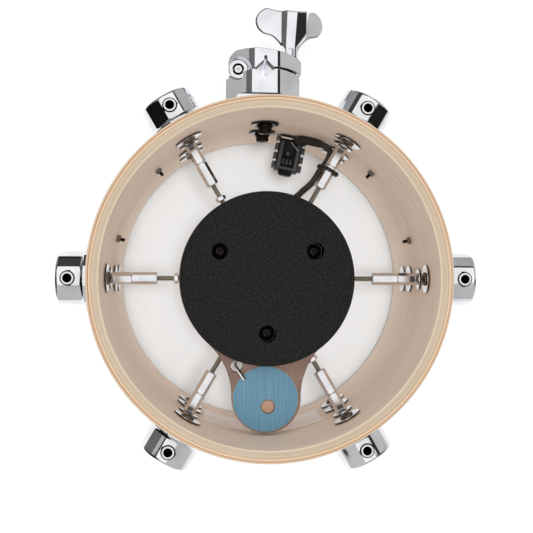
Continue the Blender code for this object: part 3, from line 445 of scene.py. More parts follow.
class Nodes:
    """Short ways to add nodes to a material's or the world's tree."""

    def __init__(self, tree):
        self.tree = tree

    def put(self, node, **sockets):
        for name, value in sockets.items():
            socket = node.inputs[int(name[1:])] if name[0] == "_" else node.inputs[name]
            if isinstance(value, bpy.types.NodeSocket):
                self.tree.links.new(value, socket)
            else:
                socket.default_value = value

    def node(self, kind, output=0, settings=(), **sockets):
        made = self.tree.nodes.new("ShaderNode" + kind)
        for key, value in dict(settings).items():
            setattr(made, key, value)
        self.put(made, **sockets)
        return made.outputs[output]

    def math(self, operation, first, second=0.0):
        return self.node("Math", settings={"operation": operation}, _0=first, _1=second)

    def plus(self, first, second):
        return self.math("ADD", first, second)

    def minus(self, first, second):
        return self.math("SUBTRACT", first, second)

    def times(self, first, second):
        return self.math("MULTIPLY", first, second)

    def total(self, *parts):
        """The sum of (value, weight) pairs."""
        whole, *others = [self.times(value, weight) for value, weight in parts]
        for part in others:
            whole = self.plus(whole, part)
        return whole

    def axes(self, vector):
        """The three parts of a vector."""
        return [self.node("SeparateXYZ", output=i, _0=vector) for i in range(3)]

    def ramp(self, value, stops):
        """A colour ramp; stops are (position, colour) with colours 0 to 255."""
        made = self.tree.nodes.new("ShaderNodeValToRGB")
        elements = made.color_ramp.elements
        while len(elements) > 1:
            elements.remove(elements[-1])
        for i, (position, color) in enumerate(stops):
            element = elements[0] if i == 0 else elements.new(position)
            element.position, element.color = position, srgb(color)
        self.put(made, _0=value)
        return made.outputs[0]

    def between(self, value, low, high, start=0.0, end=1.0):
        """Map a value from one range to another, held at its ends."""
        return self.node("MapRange", _0=value, _1=low, _2=high, _3=start, _4=end)

    def mix(self, factor, first, second, mode="MIX"):
        settings = {"data_type": "RGBA", "blend_type": mode}
        return self.node("Mix", 2, settings, _0=factor, _6=first, _7=second)

    def seen_directly(self):
        """1 for camera and transmission rays."""
        paths = self.tree.nodes.new("ShaderNodeLightPath").outputs
        return self.math("MAXIMUM", paths["Is Camera Ray"], paths["Is Transmission Ray"])

    def mirrored(self):
        """1 for rays that come from a gloss."""
        return self.tree.nodes.new("ShaderNodeLightPath").outputs["Is Glossy Ray"]


class Look(Nodes):
    """A Principled material."""

    def __init__(self, name, color, roughness, metallic=0.0, **sockets):
        self.made = bpy.data.materials.new(name)
        self.made.use_nodes = True
        super().__init__(self.made.node_tree)
        self.shader = self.tree.nodes["Principled BSDF"]
        sockets.update({"Base Color": srgb(color), "Roughness": roughness, "Metallic": metallic})
        self.put(self.shader, **sockets)
        self.place = self.tree.nodes.new("ShaderNodeTexCoord").outputs["Object"]

    def noise(self, scale, detail=3.0, stretch=None, roughness=0.5):
        """Noise whose scale is one number, or three to stretch it along the axes."""
        place = self.node("Mapping", _0=self.place, _3=stretch) if stretch else self.place
        return self.node("TexNoise", Vector=place, Scale=scale, Detail=detail, Roughness=roughness)

    def wave(self, value, spacing):
        return self.math("SINE", self.times(value, tau / spacing))

    def rough(self, value, low, high, start=0.3, end=0.7):
        self.put(self.shader, Roughness=self.between(value, start, end, low, high))

    def color(self, value):
        self.put(self.shader, **{"Base Color": value})

    def bumped(self, height, distance, strength=0.5):
        """Add the bump that ends a look, and give its material."""
        self.put(self.shader, Normal=self.node("Bump", Height=height, Distance=distance, Strength=strength))
        return self.made


def shell_look():
    """Birch plies on the bearing edges, plain veneer inside, honey lacquer outside."""
    look = Look("shell_birch", (205, 182, 156), 0.5)
    x, y = look.axes(look.place)[:2]
    radius = look.math("SQRT", look.plus(look.times(x, x), look.times(y, y)))
    streaks = look.noise(1.0, 4.0, (9.0, 9.0, 260.0), 0.6)
    fibres = look.noise(1.0, 3.0, (60.0, 60.0, 2600.0), 0.7)
    grain = look.total((streaks, 0.55), (fibres, 0.30), (look.noise(14.0, 2.0), 0.25))
    veneer = look.ramp(grain, [(0.36, (224, 200, 179)), (0.52, (237, 216, 197)), (0.70, (246, 228, 211))])
    # Across the edge from the inner wall out, as shares of the wall's thickness
    waver = look.times(look.minus(look.noise(30.0), 0.5), 0.0006)
    across = look.between(look.plus(radius, waver), INNER * 0.001, OUTER * 0.001)
    plies = look.ramp(across, [
        (0.00, (219, 203, 182)), (0.08, (219, 203, 181)), (0.14, (196, 180, 160)), (0.27, (202, 186, 166)),
        (0.31, (190, 173, 152)), (0.35, (205, 188, 168)), (0.45, (202, 185, 163)), (0.50, (188, 169, 145)),
        (0.57, (200, 180, 155)), (0.61, (210, 188, 162)), (0.68, (210, 184, 155)), (0.72, (176, 134, 104)),
        (0.79, (180, 140, 110)), (0.83, (202, 178, 150)), (1.00, (212, 195, 172)),
    ])
    shade = look.ramp(grain, [(0.38, (95, 95, 95)), (0.66, (160, 160, 160))])
    plies = look.mix(0.45, plies, shade, "SOFT_LIGHT")
    lacquer = look.ramp(grain, [(0.36, (128, 74, 36)), (0.52, (166, 104, 54)), (0.70, (192, 132, 76))])
    inside = look.between(radius, 0.118505, 0.118530, 1.0, 0.0)
    outside = look.between(radius, 0.12688, 0.12694)
    look.color(look.mix(outside, look.mix(inside, plies, veneer), lacquer))
    dull = look.minus(look.between(fibres, 0.3, 0.7, 0.48, 0.6), look.times(outside, 0.28))
    look.put(look.shader, Roughness=dull)
    return look.bumped(fibres, 0.00004)


def metal_look(name, color, low, high, grit=900.0, bump=0.0, stretch=1.0):
    """A metal whose polish varies a little from place to place, with fine marks."""
    look = Look(name, color, low, 1.0)
    spots = look.noise(grit, 4.0, (1.0, 1.0, stretch), 0.6)
    clouds = look.noise(55.0, 2.0)
    look.rough(look.total((spots, 0.5), (clouds, 0.5)), low, high, 0.35, 0.65)
    look.color(look.ramp(clouds, [(0.3, [v * 0.93 for v in color]), (0.6, color)]))
    return look.bumped(spots, bump, 0.4) if bump else look.made


def way_look():
    """Thinly plated walls inside the clamp: bare brown casting near the open end, pale further in."""
    look = Look("rubbed_way", (200, 200, 212), 0.2, 1.0)
    z = look.axes(look.place)[2]
    patches = look.times(look.minus(look.noise(260.0), 0.5), 0.005)
    depth = look.plus(look.minus((BRACKET_Z + BLOCK_LENGTH / 2) * 0.001, z), patches)
    look.color(look.ramp(look.between(depth, 0.0, 0.02), [
        (0.03, (128, 106, 76)), (0.10, (62, 47, 33)), (0.46, (92, 72, 50)), (0.58, (160, 150, 152)),
        (0.70, (222, 221, 234)),
    ]))
    look.rough(depth, 0.4, 0.1, 0.008, 0.014)
    return look.made


def cloth_look():
    """White woven mesh: warp and weft threads 0.7 mm apart, over and under each other."""
    look = Look("woven_mesh", (236, 235, 232), 0.75)
    x, y = look.axes(look.place)[:2]
    weave = look.times(look.wave(x, 0.0007), look.wave(y, 0.0007))
    lift = look.plus(look.times(weave, 0.5), 0.5)
    tone = look.total((lift, 0.6), (look.noise(1.0, 2.0, (420.0, 18.0, 1.0)), 0.4))
    look.color(look.ramp(tone, [(0.15, (231, 236, 240)), (0.8, (237, 242, 246))]))
    return look.bumped(lift, 0.00012, 0.6)


def foam_look():
    """Black closed-cell foam, speckled with its open cells."""
    look = Look("black_foam", (34, 34, 35), 0.95, **{"Specular IOR Level": 0.2})
    cells = look.node("TexVoronoi", Vector=look.place, Scale=2400.0)
    tone = look.total((cells, 0.6), (look.noise(700.0), 0.6))
    look.color(look.ramp(tone, [(0.32, (5, 5, 5)), (0.55, (21, 21, 22)), (0.82, (41, 41, 42))]))
    return look.bumped(tone, 0.0003, 0.6)


def board_look():
    """Brown hard board with short pressed fibres."""
    look = Look("brown_board", (128, 105, 95), 0.55)
    fibres = look.noise(1.0, 4.0, (900.0, 260.0, 500.0), 0.65)
    tone = look.total((fibres, 0.5), (look.noise(60.0), 0.5))
    look.color(look.ramp(tone, [(0.35, (104, 82, 71)), (0.50, (121, 97, 85)), (0.66, (137, 112, 99))]))
    look.rough(fibres, 0.45, 0.65)
    return look.bumped(fibres, 0.00005)


def film_look():
    """Blue film over woven tape: fine upright threads, with paler ones between them."""
    look = Look("blue_film", (106, 152, 178), 0.38)
    x, y = look.axes(look.place)[:2]
    uneven = look.noise(1.0, 3.0, (700.0, 30.0, 1.0))
    tone = look.total((look.wave(x, 0.0011), 0.14), (look.wave(y, 0.0016), 0.05), (uneven, 1.0))
    look.color(look.ramp(tone, [(0.20, (72, 112, 134)), (0.50, (84, 124, 146)), (0.80, (98, 137, 157))]))
    look.rough(uneven, 0.3, 0.5)
    return look.bumped(tone, 0.00005)


def plastic_look(name, color, roughness, spread=0.25, shine=0.5):
    """Moulded plastic or rubber with a fine grain."""
    look = Look(name, color, roughness, **{"Specular IOR Level": shine})
    grain = look.noise(1500.0)
    tone = look.total((grain, 0.5), (look.noise(90.0, 2.0), 0.5))
    low, high = ([min(255, v * s) for v in color] for s in (1 - spread, 1 + spread))
    look.color(look.ramp(tone, [(0.35, low), (0.65, high)]))
    look.rough(grain, roughness * 0.8, min(1.0, roughness * 1.2))
    return look.bumped(grain, 0.00003, 0.4)


def paper_look():
    look = Look("label_paper", (238, 228, 220), 0.45)
    fibres = look.noise(1200.0, 4.0)
    tone = look.total((fibres, 0.5), (look.noise(70.0, 2.0), 0.5))
    look.color(look.ramp(tone, [(0.35, (244, 232, 224)), (0.65, (252, 244, 238))]))
    return look.bumped(fibres, 0.00002)


WOOD = shell_look()
WAY = way_look()
CHROME = metal_look("chrome", (243, 244, 247), 0.02, 0.07)
NICKEL = metal_look("nickel", (236, 236, 238), 0.08, 0.20, 500.0, 0.00001, 14.0)
ZINC = metal_look("zinc_thread", (196, 191, 180), 0.22, 0.38, 800.0)
# Dark metal: painted shade on washer rims, also given to the tips of the badge screws inside the shell
DARK_METAL_AND_PAINTED_SHADE = metal_look("dark_metal_painted_shade", (70, 56, 46), 0.30, 0.50)
SCREW_STEEL = metal_look("screw_steel", (128, 112, 100), 0.22, 0.38)
BLACK_STEEL = metal_look("black_steel", (40, 36, 34), 0.28, 0.45, 700.0)
SMOKED_STEEL = metal_look("smoked_steel", (122, 112, 104), 0.12, 0.25, 700.0)
DARK_STEEL = metal_look("dark_steel", (46, 44, 44), 0.35, 0.55, 700.0)
PALE_STEEL = metal_look("pale_steel", (150, 148, 146), 0.25, 0.4, 700.0)
ALUMINIUM = metal_look("aluminium", (206, 207, 209), 0.28, 0.42, 600.0, 0.00001, 20.0)
BRASS = metal_look("brass", (214, 178, 122), 0.22, 0.38, 600.0)
COPPER = metal_look("bare_copper", (196, 160, 138), 0.30, 0.48, 900.0, 0.00001)
SILVER = metal_look("contact_silver", (228, 226, 222), 0.16, 0.30)
MESH_CLOTH = cloth_look()
FOAM = foam_look()
# Near-black: painted shade on the foam's key-hole walls and on the rings at the bottom of those holes
PAINTED_SHADE_BLACK = plastic_look("painted_shade_black", (6, 6, 6), 0.9, shine=0.05)
BOARD = board_look()
BLUE_FILM = film_look()
JACK_PLASTIC = plastic_look("jack_plastic", (12, 12, 13), 0.42, shine=0.2)
JACK_COVER = plastic_look("jack_cover", (50, 51, 54), 0.34)
CABLE_PVC = plastic_look("cable_pvc", (33, 31, 30), 0.42)
WHITE_PVC = plastic_look("white_pvc", (214, 212, 206), 0.4, spread=0.08)
TIE_NYLON = plastic_look("tie_nylon", (20, 20, 20), 0.35)
RUBBER = plastic_look("rubber", (28, 28, 28), 0.8)
PAPER = paper_look()


# Shell, head and hoop

def make_shell():
    levels = []
    for z in (*SCREW_ROWS, BADGE_Z):
        levels += [z - 4.5, z + 4.5]
    levels = sorted(levels + [61.3, 49.0, 136.0, 150.0, 20.0])
    soft = 0.35
    profile = rounded([
        (PEAK_OUTER, RIM, soft), (OUTER, RIM - 2.4, soft), (OUTER, 140),
        (OUTER, 70), (OUTER, SHELL_LOW + 2.4, soft), (PEAK_OUTER, SHELL_LOW, soft),
        (PEAK_INNER, SHELL_LOW, soft), (INNER, SHELL_LOW + 5.3, soft),
        *[(INNER, z) for z in levels], (INNER, RIM - 5.3, soft), (PEAK_INNER, RIM, soft),
    ], closed=True, steps=3)
    shell = lathe(profile, 192)
    start, end = INNER - 6, OUTER + 6
    holes = [radial(a, z) for a in ANGLES for z in SCREW_ROWS]
    bolts = [radial(*bolt) for bolt in BOLTS]
    badges = [radial(a, BADGE_Z) for a in (15, 45, 135, 165)]
    shell = cut(
        shell, moved(rod(2.8, start, end, 16), *holes), moved(rod(3.7, start, end, 20), *bolts),
        moved(rod(2.0, start, end, 14), *badges),
        moved(rod(5.6, start, end, 24), radial(JACK_ANGLE, JACK_Z)))
    add("drum_shell", shell, WOOD, "shell", angle=25)


def thick(line, thickness):
    """The closed outline of a bent sheet, from its middle line."""
    points = [Vector(p) for p in line]
    sides = ([], [])
    for i, point in enumerate(points):
        back = (point - points[i - 1]).normalized() if i else None
        ahead = (points[i + 1] - point).normalized() if i < len(points) - 1 else None
        along = ((back or ahead) + (ahead or back)).normalized()
        normal = Vector((-along.y, along.x))
        reach = thickness / 2 / max(0.5, along.dot(ahead or back))
        sides[0].append(tuple(point + normal * reach))
        sides[1].append(tuple(point - normal * reach))
    return sides[0] + sides[1][::-1]


def make_hoop():
    line = rounded([
        (135.2, -11), (130.6, -11, 1.6), (130.6, 2.2, 1.6), (136.2, 2.2, 1.6), (136.2, HOOP_LIP, 1.6),
        (142, HOOP_LIP),
    ], steps=5)
    hoop = lathe(thick(line, 2.0), 144)
    low = HOOP_LIP - 0.8
    ear = rod(8.5, low, low + 1.6, 40, 0.35)
    hole = rod(3.5, low - 3, low + 4, 24)
    places = [upright(a, ROD_CIRCLE) for a in ANGLES]
    hoop = boolean(hoop, ("+", moved(ear, *places)), ("-", moved(hole, *places)))
    add("batter_hoop_chrome", hoop, CHROME, "batter_hoop", angle=28)


def make_head():
    cloth = turned([
        (0, 0.6), (60, 0.6), (110, 0.6), (128.2, 0.6, 3.0), (128.2, 9.0), (128.9, 9.0), (128.9, 0.0, 3.4),
        (110, 0.0), (60, 0.0), (0, 0.0),
    ], 144, 5)
    head = add("mesh_head_cloth", cloth, MESH_CLOTH, "mesh_head", angle=60)
    flesh = turned([
        (134.6, 12, 0.6), (134.6, 3.5, 0.6), (129.7, 3.5, 0.6), (129.7, 12, 0.6),
    ], 144, 3, True)
    add("flesh_hoop_ring", flesh, ALUMINIUM, "flesh_hoop")


def make_tension_rods():
    """Square-headed rods that pull the hoop towards the top lugs."""
    seat = HOOP_LIP - 1.0 - GAP
    collar_top = seat - 1.2
    collar_low = collar_top - 2.8
    head = boolean(
        turned([
            (0, collar_low), (4.2, collar_low), (5.2, collar_low + 0.9, 0.4), (5.2, collar_top, 0.25),
            (0, collar_top),
        ], 40, 3),
        ("+", prism(rounded_box(2.97, 2.97, 0.5, 3), collar_low - 8, collar_low + 1, 0.3)),
        ("+", rod(2.3, collar_top - 1, 22, 24)))
    body = together(head, thread(2.45, 0.8, 21.5, 58))
    washer = ring(6.2, 2.7, collar_top + 0.05, seat, 40, 0.3)
    for number, angle in enumerate(ANGLES, 1):
        place = upright(angle, ROD_CIRCLE)
        name = f"tension_rod_{number}"
        add(name + "_bolt", body, CHROME, name, place, name)
        add(name + "_washer", washer, CHROME, (), place, name)


# Lugs

LUG_RADIUS = 19.5
LUG_FLANGE = 20.8

def lug_casting():
    """A round lug on the +X side of the shell, flared to its foot and bored from the top."""
    face, foot = OUTER + 26.5, OUTER + 9.2
    flare = arc((LUG_RADIUS + 3.4, foot), 3.4, 180, 225, 8)
    profile = [
        *rounded([
            (0, face), (LUG_RADIUS * 0.5, face), (LUG_RADIUS, face, 2.1), (LUG_RADIUS, face - 6)], steps=6),
        *[(LUG_RADIUS, foot + h) for h in (9, 6, 3)], *flare,
        *rounded([
            flare[-1], (LUG_FLANGE, flare[-1][1] - 0.3, 0.25), (LUG_FLANGE, OUTER + 3),
            (LUG_FLANGE, OUTER - 3), (0, OUTER - 3),
        ], steps=3)[1:],
    ]
    casting = lathe(profile, 128)
    casting.transform(radial(0, 0))
    screw_hole = rod(2.2, OUTER - 5, OUTER + 10, 20)
    bore = lathe([
        (0, LUG_RADIUS - 24), (4.5, LUG_RADIUS - 24), (4.5, LUG_RADIUS - 3.0), (5.45, LUG_RADIUS - 2.6),
        (5.45, LUG_RADIUS + 3), (0, LUG_RADIUS + 3)], 48)
    casting = cut(
        casting, rod(OUTER + GAP, -30, 30, 192), moved(bore, upright(0, ROD_CIRCLE)),
        moved(screw_hole, radial(0, SCREW_SPREAD), radial(0, -SCREW_SPREAD)))
    # The bore's walls get dark steel: painted shade in the gap round the swivel nut
    return marked(casting, lambda place: hypot(place.x - ROD_CIRCLE, place.y) < 5.5 and place.z > -6)


def swivel_nut():
    """A nut whose round collar stands a little proud of the lug, with a threaded hole."""
    top, low, pitch = LUG_RADIUS + 0.95, LUG_RADIUS - 22, 0.8
    threads = []
    depth = 1.0
    while depth < 15:
        threads += [(3.12, top - depth), (2.78, top - depth - pitch / 2)]
        depth += pitch
    nut = lathe([
        *rounded([
            (0, low), (4.25, low, 0.4), (4.25, LUG_RADIUS - 2.4), (4.7, LUG_RADIUS - 2.2), (4.7, top, 0.3),
            (3.3, top, 0.12), (3.12, top - 0.5),
        ], steps=4), *threads, (2.78, low + 4), (0, low + 4),
    ], 56)
    # The threaded hole's walls get dark steel: painted shade in the hole
    return marked(nut, lambda place: off_axis(place) < 3.2 and place.z > low + 1)


def make_lugs():
    casting, swivel = lug_casting(), swivel_nut()
    seat = wall_seat(WASHER_RADIUS)
    under = seat - 0.9
    washer, screw = flat_washer(WASHER_RADIUS, 2.3, under, seat), pan_screw(under, OUTER + 9)
    for row, height, flip, sides in (("bottom", BOTTOM_LUG_Z, 0, (1,)), ("top", TOP_LUG_Z, 180, (-1, 1))):
        spots = [radial(0, side * SCREW_SPREAD) for side in sides]
        washers, screws = moved(washer, *spots), moved(screw, *spots)
        for number, angle in enumerate(ANGLES, 1):
            name = f"{row}_lug_{number}"
            place = upright(angle, 0, height) @ spin(flip, "X")
            nut_place = place @ upright(0, ROD_CIRCLE)
            add(name + "_casting", casting, CHROME, name, place, angle=28, looks=(DARK_STEEL,),
                flats=True)
            add(name + "_swivel_nut", swivel, NICKEL, (), nut_place, looks=(DARK_STEEL,))
            add(name + "_washers", washers, CHROME, (), place, looks=(DARK_METAL_AND_PAINTED_SHADE,))
            add(name + "_screws", screws, SCREW_STEEL, (), place)


def flat_washer(outer, hole, low, high):
    """A stamped washer whose rim takes the second finish, painted shade for the dark line along its edge.
    """
    mesh = ring(outer, hole, low, high, 72, 0.12)
    return marked(mesh, lambda place: off_axis(place) > outer - 0.16)


def pan_screw(seat, reach):
    """A pan-head screw with a cross recess, from its head's seat outwards."""
    head = turned([
        (0, reach), (2.05, reach), (2.05, seat - 0.2), (5.0, seat - 0.2, 0.3), (5.0, seat - 1.3, 1.2),
        (2.4, seat - 2.4), (0, seat - 2.55),
    ], 40, 4)
    slot = box((-2.6, -0.55, seat - 3), (2.6, 0.55, seat - 1.3))
    cross = boolean(slot, ("+", box((-0.55, -2.6, seat - 3), (0.55, 2.6, seat - 1.3))))
    return cut(head, cross)


# Struts and the plate

# Where each strut's outer and inner bar end, and how far its outer bar is turned from flat side up
STRUTS = {
    0: (100.6, 81.2, 0), 60: (99.1, 80.3, 0), 120: (100.2, 81.6, 0),
    180: (101.4, 82.6, -11), 240: (100.4, 82.3, 0), 300: (100.5, 81.0, 0),
}
JAM_NUTS = {120: 69.8, 180: 68.2, 300: 70.7}


def make_struts():
    washer_radius = 7.85
    seat = wall_seat(washer_radius)
    under = seat - 1.0
    washer = flat_washer(washer_radius, 2.3, under, seat)
    for number, (angle, (joint, end, roll)) in enumerate(STRUTS.items(), 1):
        place, rolled = radial(angle, STRUT_Z, 30), radial(angle, STRUT_Z, 30 + roll)
        outer, inner = f"outer_standoff_{number}", f"inner_standoff_{number}"
        stud = thread(2.05, 0.7, under - 1, OUTER + 9)
        outer_bar = together(hex_bar(8, joint + 0.15, under - 0.05), stud)
        rod_thread = thread(2.0, 0.7, 56, end + 1.5)
        add(outer + "_hex", outer_bar, NICKEL, outer, rolled, angle=20)
        add(outer + "_washer", washer, CHROME, (), place, looks=(DARK_METAL_AND_PAINTED_SHADE,))
        add(inner + "_hex", hex_bar(8, end, joint - 0.15), NICKEL, inner, place, angle=20)
        add(f"strut_{number}_threaded_rod", rod_thread, ZINC, (), place, angle=50)
        if angle in JAM_NUTS:
            middle = JAM_NUTS[angle]
            nut = hex_bar(7, middle - 1.5, middle + 1.5, 2.1)
            add(f"strut_{number}_jam_nut", nut, NICKEL, (), place, angle=20)


def plate_outline():
    """Main disc with a round tab towards -Y, blended by a fillet that touches both."""
    disc, tab_y, tab, fillet = 66.0, -90.6, 26.2, 55.0
    to_disc, to_tab = disc + fillet, tab + fillet
    fillet_y = (to_disc**2 - to_tab**2 + tab_y**2) / (2 * tab_y)
    fillet_x = sqrt(to_disc**2 - fillet_y**2)
    at_disc = degrees(atan2(-fillet_y, -fillet_x))
    at_tab = degrees(atan2(tab_y - fillet_y, -fillet_x))
    disc_start, tab_right = at_disc - 180, at_tab + 180
    outline = arc((0, 0), disc, disc_start, 180 - disc_start, 96)
    outline += arc((-fillet_x, fillet_y), fillet, 180 - at_disc, -180 - at_tab, 14)[1:]
    outline += arc((0, tab_y), tab, 180 - tab_right, tab_right + 360, 56)[1:]
    outline += arc((fillet_x, fillet_y), fillet, at_tab + 360, at_disc, 14)[1:-1]
    return outline


TOWER = [upright(a, 41) for a in (30, 150, 270)]
KEY_HOLE = 6.5
WIRE_HOLE = (-22.3, -66.6)


def make_plate():
    plate = prism(plate_outline(), PLATE_LOW, PLATE_TOP, 0.5)
    plate = cut(
        plate,
        moved(rod(4.5, PLATE_LOW - 3, PLATE_TOP + 3, 40), shift(*WIRE_HOLE, 0)),
        moved(rod(2.1, PLATE_LOW - 3, PLATE_TOP + 3, 20), *TOWER),
        moved(rod(2.4, 55, 72, 20), *[radial(a, STRUT_Z) for a in ANGLES]))
    add("trigger_plate_board", plate, BOARD, "trigger_plate", angle=35)
    low = PLATE_TOP + GAP
    foam = turned([
        (0, low), (40, low), (65, low, 0.4), (65, FOAM_TOP, 0.9), (40, FOAM_TOP), (0, FOAM_TOP)], 144)
    foam = cut(foam, moved(rod(KEY_HOLE, low - 3, FOAM_TOP + 3, 48), *TOWER))
    middles = [spot.translation.xy for spot in TOWER]
    # The key holes' walls get near-black: painted shade in the holes
    foam = marked(foam, lambda place: min((place.xy - middle).length for middle in middles) < KEY_HOLE)
    disc = add("foam_disc_pad", foam, FOAM, "foam_disc", angle=35, looks=(PAINTED_SHADE_BLACK,))


def make_tower():
    """Posts under the plate that carry the head sensor and its foam cone."""
    head_low = PLATE_TOP + GAP
    carrier_low, carrier_top = 27.3, 30.3
    low = carrier_top + GAP
    post = hex_bar(5.5, low, PLATE_LOW - GAP, 1.6, 9.5)
    cap = turned([
        (0, PLATE_LOW + 1), (1.5, PLATE_LOW + 1), (1.5, head_low), (2.75, head_low, 0.15),
        (2.75, head_low + 3, 0.3), (0, head_low + 3),
    ], 40, 3)
    cap = cut(cap, prism(hexagon(2.5), head_low + 1.2, head_low + 4))
    # The cap's top rim gets pale steel: a painted highlight ring on the black head
    cap = marked(cap, lambda place: place.z > head_low + 2.66 and off_axis(place) > 2.4)
    # A thin near-black ring at the bottom of each key hole: painted shade where the plate would show
    collar = ring(6.2, 2.85, head_low, head_low + 0.5, 48, 0.1)
    screw = turned([
        (0, low + 8), (1.5, low + 8), (1.5, carrier_low - 0.1), (2.75, carrier_low - 0.1, 0.15),
        (2.75, carrier_low - 1.2, 0.8), (0, carrier_low - 1.9),
    ], 32, 3)
    for number, place in enumerate(TOWER, 1):
        add(f"tower_post_{number}", post, BRASS, f"tower_standoff_{number}", place, angle=20)
        add(f"tower_cap_screw_{number}", cap, BLACK_STEEL, (), place, looks=(PALE_STEEL,))
        add(f"tower_shade_ring_{number}", collar, PAINTED_SHADE_BLACK, (), place)
        add(f"carrier_screw_{number}", screw, NICKEL, (), place)
    carrier = cut(
        turned([(0, carrier_low), (50, carrier_low, 0.4), (50, carrier_top, 0.4), (0, carrier_top)], 96),
        moved(rod(1.6, carrier_low - 2, carrier_top + 2, 20), *TOWER),
        moved(rod(3.0, carrier_low - 3, carrier_top + 3, 24), shift(-17, 12, 0)))
    add("sensor_carrier_board", carrier, BOARD, "sensor_carrier", angle=35)
    top = carrier_low - GAP
    add("head_piezo_disc", rod(25, top - 0.5, top, 96, 0.1), BRASS, "head_piezo")
    cone_top = top - 0.5 - GAP
    cone = turned([
        (0, cone_top), (20, cone_top, 0.5), (20, cone_top - 3.6, 1.0), (8, 1.15, 0.8), (0, 1.15),
    ], 72)
    add("foam_cone_pad", cone, FOAM, "foam_cone", angle=35)


def make_rim_sensor():
    place, spot_place = shift(-0.6, -90.8, 0), shift(1.8, -5.8, 0)
    low = PLATE_TOP + GAP
    film_low, film_top = low + 0.55, low + 1.55
    add("rim_piezo_disc", moved(rod(25, low, low + 0.5, 96, 0.1), place), BRASS, "rim_piezo")
    window = lathe([
        (0, film_low - 1), (5.2, film_low - 1), (5.35, film_low + 0.8), (5.8, film_low + 1.3),
        (0, film_low + 1.3)], 40)
    film = cut(
        turned([(0, film_low), (24.7, film_low), (24.7, film_top, 0.35), (0, film_top)], 96, 3),
        moved(window, spot_place))
    add("rim_piezo_film", moved(film, place), BLUE_FILM, "rim_piezo_cover", angle=35)
    spot = turned([
        (0, film_low - 0.04), (5.1, film_low - 0.04), (4.6, film_low + 0.22, 0.3), (0, film_low + 0.3)], 40)
    add("rim_piezo_spot", moved(spot, place @ spot_place), COPPER)


# Jack, cables and labels

CABLE_ROUTE = [
    (26.2, 110.8, 67.3), (30.0, 111.2, 70.0), (36.4, 109.6, 74.1), (44.5, 105.8, 82.1), (49.2, 101.2, 90.0),
    (49.3, 95.5, 94.4), (46.0, 89.0, 94.8), (42.6, 85.1, 94.1), (36.0, 74.6, 92.1), (27.0, 66.4, 89.1),
    (18.0, 56.0, 88.1), (12.0, 30.0, 88.1), (4.0, 5.0, 88.1), (-4.0, -20.0, 88.1), (-8.0, -34.0, 88.1),
]
RIM_LEAD_ROUTE = [
    (-9.0, -35.0, 88.1), (-13.0, -45.0, 88.0), (-20.0, -59.0, 88.5), (-23.2, -65.0, 93.0),
    (-23.0, -66.4, 100.0), (-22.1, -68.0, 106.2), (-19.0, -72.2, 108.2), (-16.6, -75.8, 107.6),
]
HEAD_LEAD_ROUTE = [
    (-7.0, -35.0, 88.1), (-6.0, -38.0, 87.0), (-5.0, -37.0, 80.0), (-10.0, -20.0, 60.0), (-16.0, 5.0, 45.0),
    (-17.0, 12.0, 35.0), (-17.0, 12.0, 27.2),
]


def make_jack():
    place = radial(JACK_ANGLE, JACK_Z)
    # In the jack's own frame, the face of the housing that looks up is the one towards -X
    face, half_width, wall, inner = 8.0, 9.5, wall_seat(9.5), 89.5
    nose = turned([(0, 85.8), (4.4, 85.8, 0.3), (5.8, 87.0, 0.4), (5.8, inner + 1), (0, inner + 1)], 48, 3)
    slots = moved(box((-face - 1, -0.5, -0.4), (face + 1, 0.5, 0.4)), *[
        shift(0, y, r) for y in (-9.4, 9.4) for r in (92.9, 100.0, 107.5)])
    housing = boolean(
        box((-face, -half_width, inner), (face, half_width, wall), 0.6),
        ("-", box((-face - 1, -4.6, inner + 3.2), (-face + 2.6, 4.6, wall - 4), 0.5)),
        ("-", slots), ("+", nose), ("+", rod(4.4, wall - 2, 133.2, 40)),
        ("-", rod(3.4, inner + 1.2, 140, 40)))
    add("jack_housing", housing, JACK_PLASTIC, "jack_body", place)
    bushing = cut(thread(4.8, 0.75, wall - 1, 133.5, 40), rod(4.45, wall - 3, 140, 40))
    add("jack_bushing_thread", bushing, NICKEL, (), place, angle=50)
    cover = [box((-face - 0.7, y, 91.2), (-face + 0.2, y + 3.0, 112.5), 0.35) for y in (-8.5, 5.5)]
    cover.append(box((-face - 0.5, -9.2, 89.8), (-face + 0.2, 9.2, 92.0), 0.3))
    for low, high in ((90.4, 94.8), (97.6, 102.3), (105.1, 109.8), (112.6, 116.2)):
        cover += [box((-7.4, y, low), (3.0, y + 2.9, high), 0.4) for y in (-12.2, 9.3)]
    cover.append(moved(rod(1.6, 0, 1.5, 24, 0.3), shift(-face + 1.0, 1.0, 103) @ spin(-90, "Y")))
    cover += [box((-face + 1.6, y, 94.5), (-face + 2.8, y + 1.8, 98.5), 0.3) for y in (-3.4, -0.4, 2.6)]
    add("jack_cover", together(*cover), JACK_COVER, (), place)
    contacts = [
        tube([(-8.4, 0.2, 112.4), (-8.8, -3.4, 109.6), (-9.0, -7.0, 106.4)], 0.8, 1.0, 10),
        box((-9.0, -1.6, 114.6), (-8.1, 9.6, 116.0), 0.2)]
    for distance in (96.2, 103.7, 111.2):
        for side in (-1, 1):
            contacts += [
                box((-7.2, side * 9.2, distance - 1.0), (-4.6, side * 12.0, distance + 1.0), 0.25),
                box((-8.5, side * 10.4, distance - 1.1), (-4.6, side * 11.8, distance + 1.1), 0.2)]
    add("jack_contacts", together(*contacts), SILVER, (), place)
    washer_low = OUTER + GAP
    nut = cut(
        hex_bar(12.7, washer_low + 1.05, washer_low + 3.8), rod(5.4, washer_low - 3, washer_low + 6, 40))
    add("jack_hex_nut", nut, NICKEL, "jack_nut", place, angle=20)
    add("jack_washer", ring(7.6, 5.4, washer_low, washer_low + 1, 48), NICKEL, (), place)


def belt(first, first_radius, second, second_radius, count):
    """The outline of a band drawn tight round two circles."""
    across = Vector(second) - Vector(first)
    heading = degrees(atan2(across.y, across.x))
    spread = degrees(acos((first_radius - second_radius) / across.length))
    outline = arc(first, first_radius, heading + spread, heading + 360 - spread, count)
    return outline + arc(second, second_radius, heading - spread, heading + spread, count)


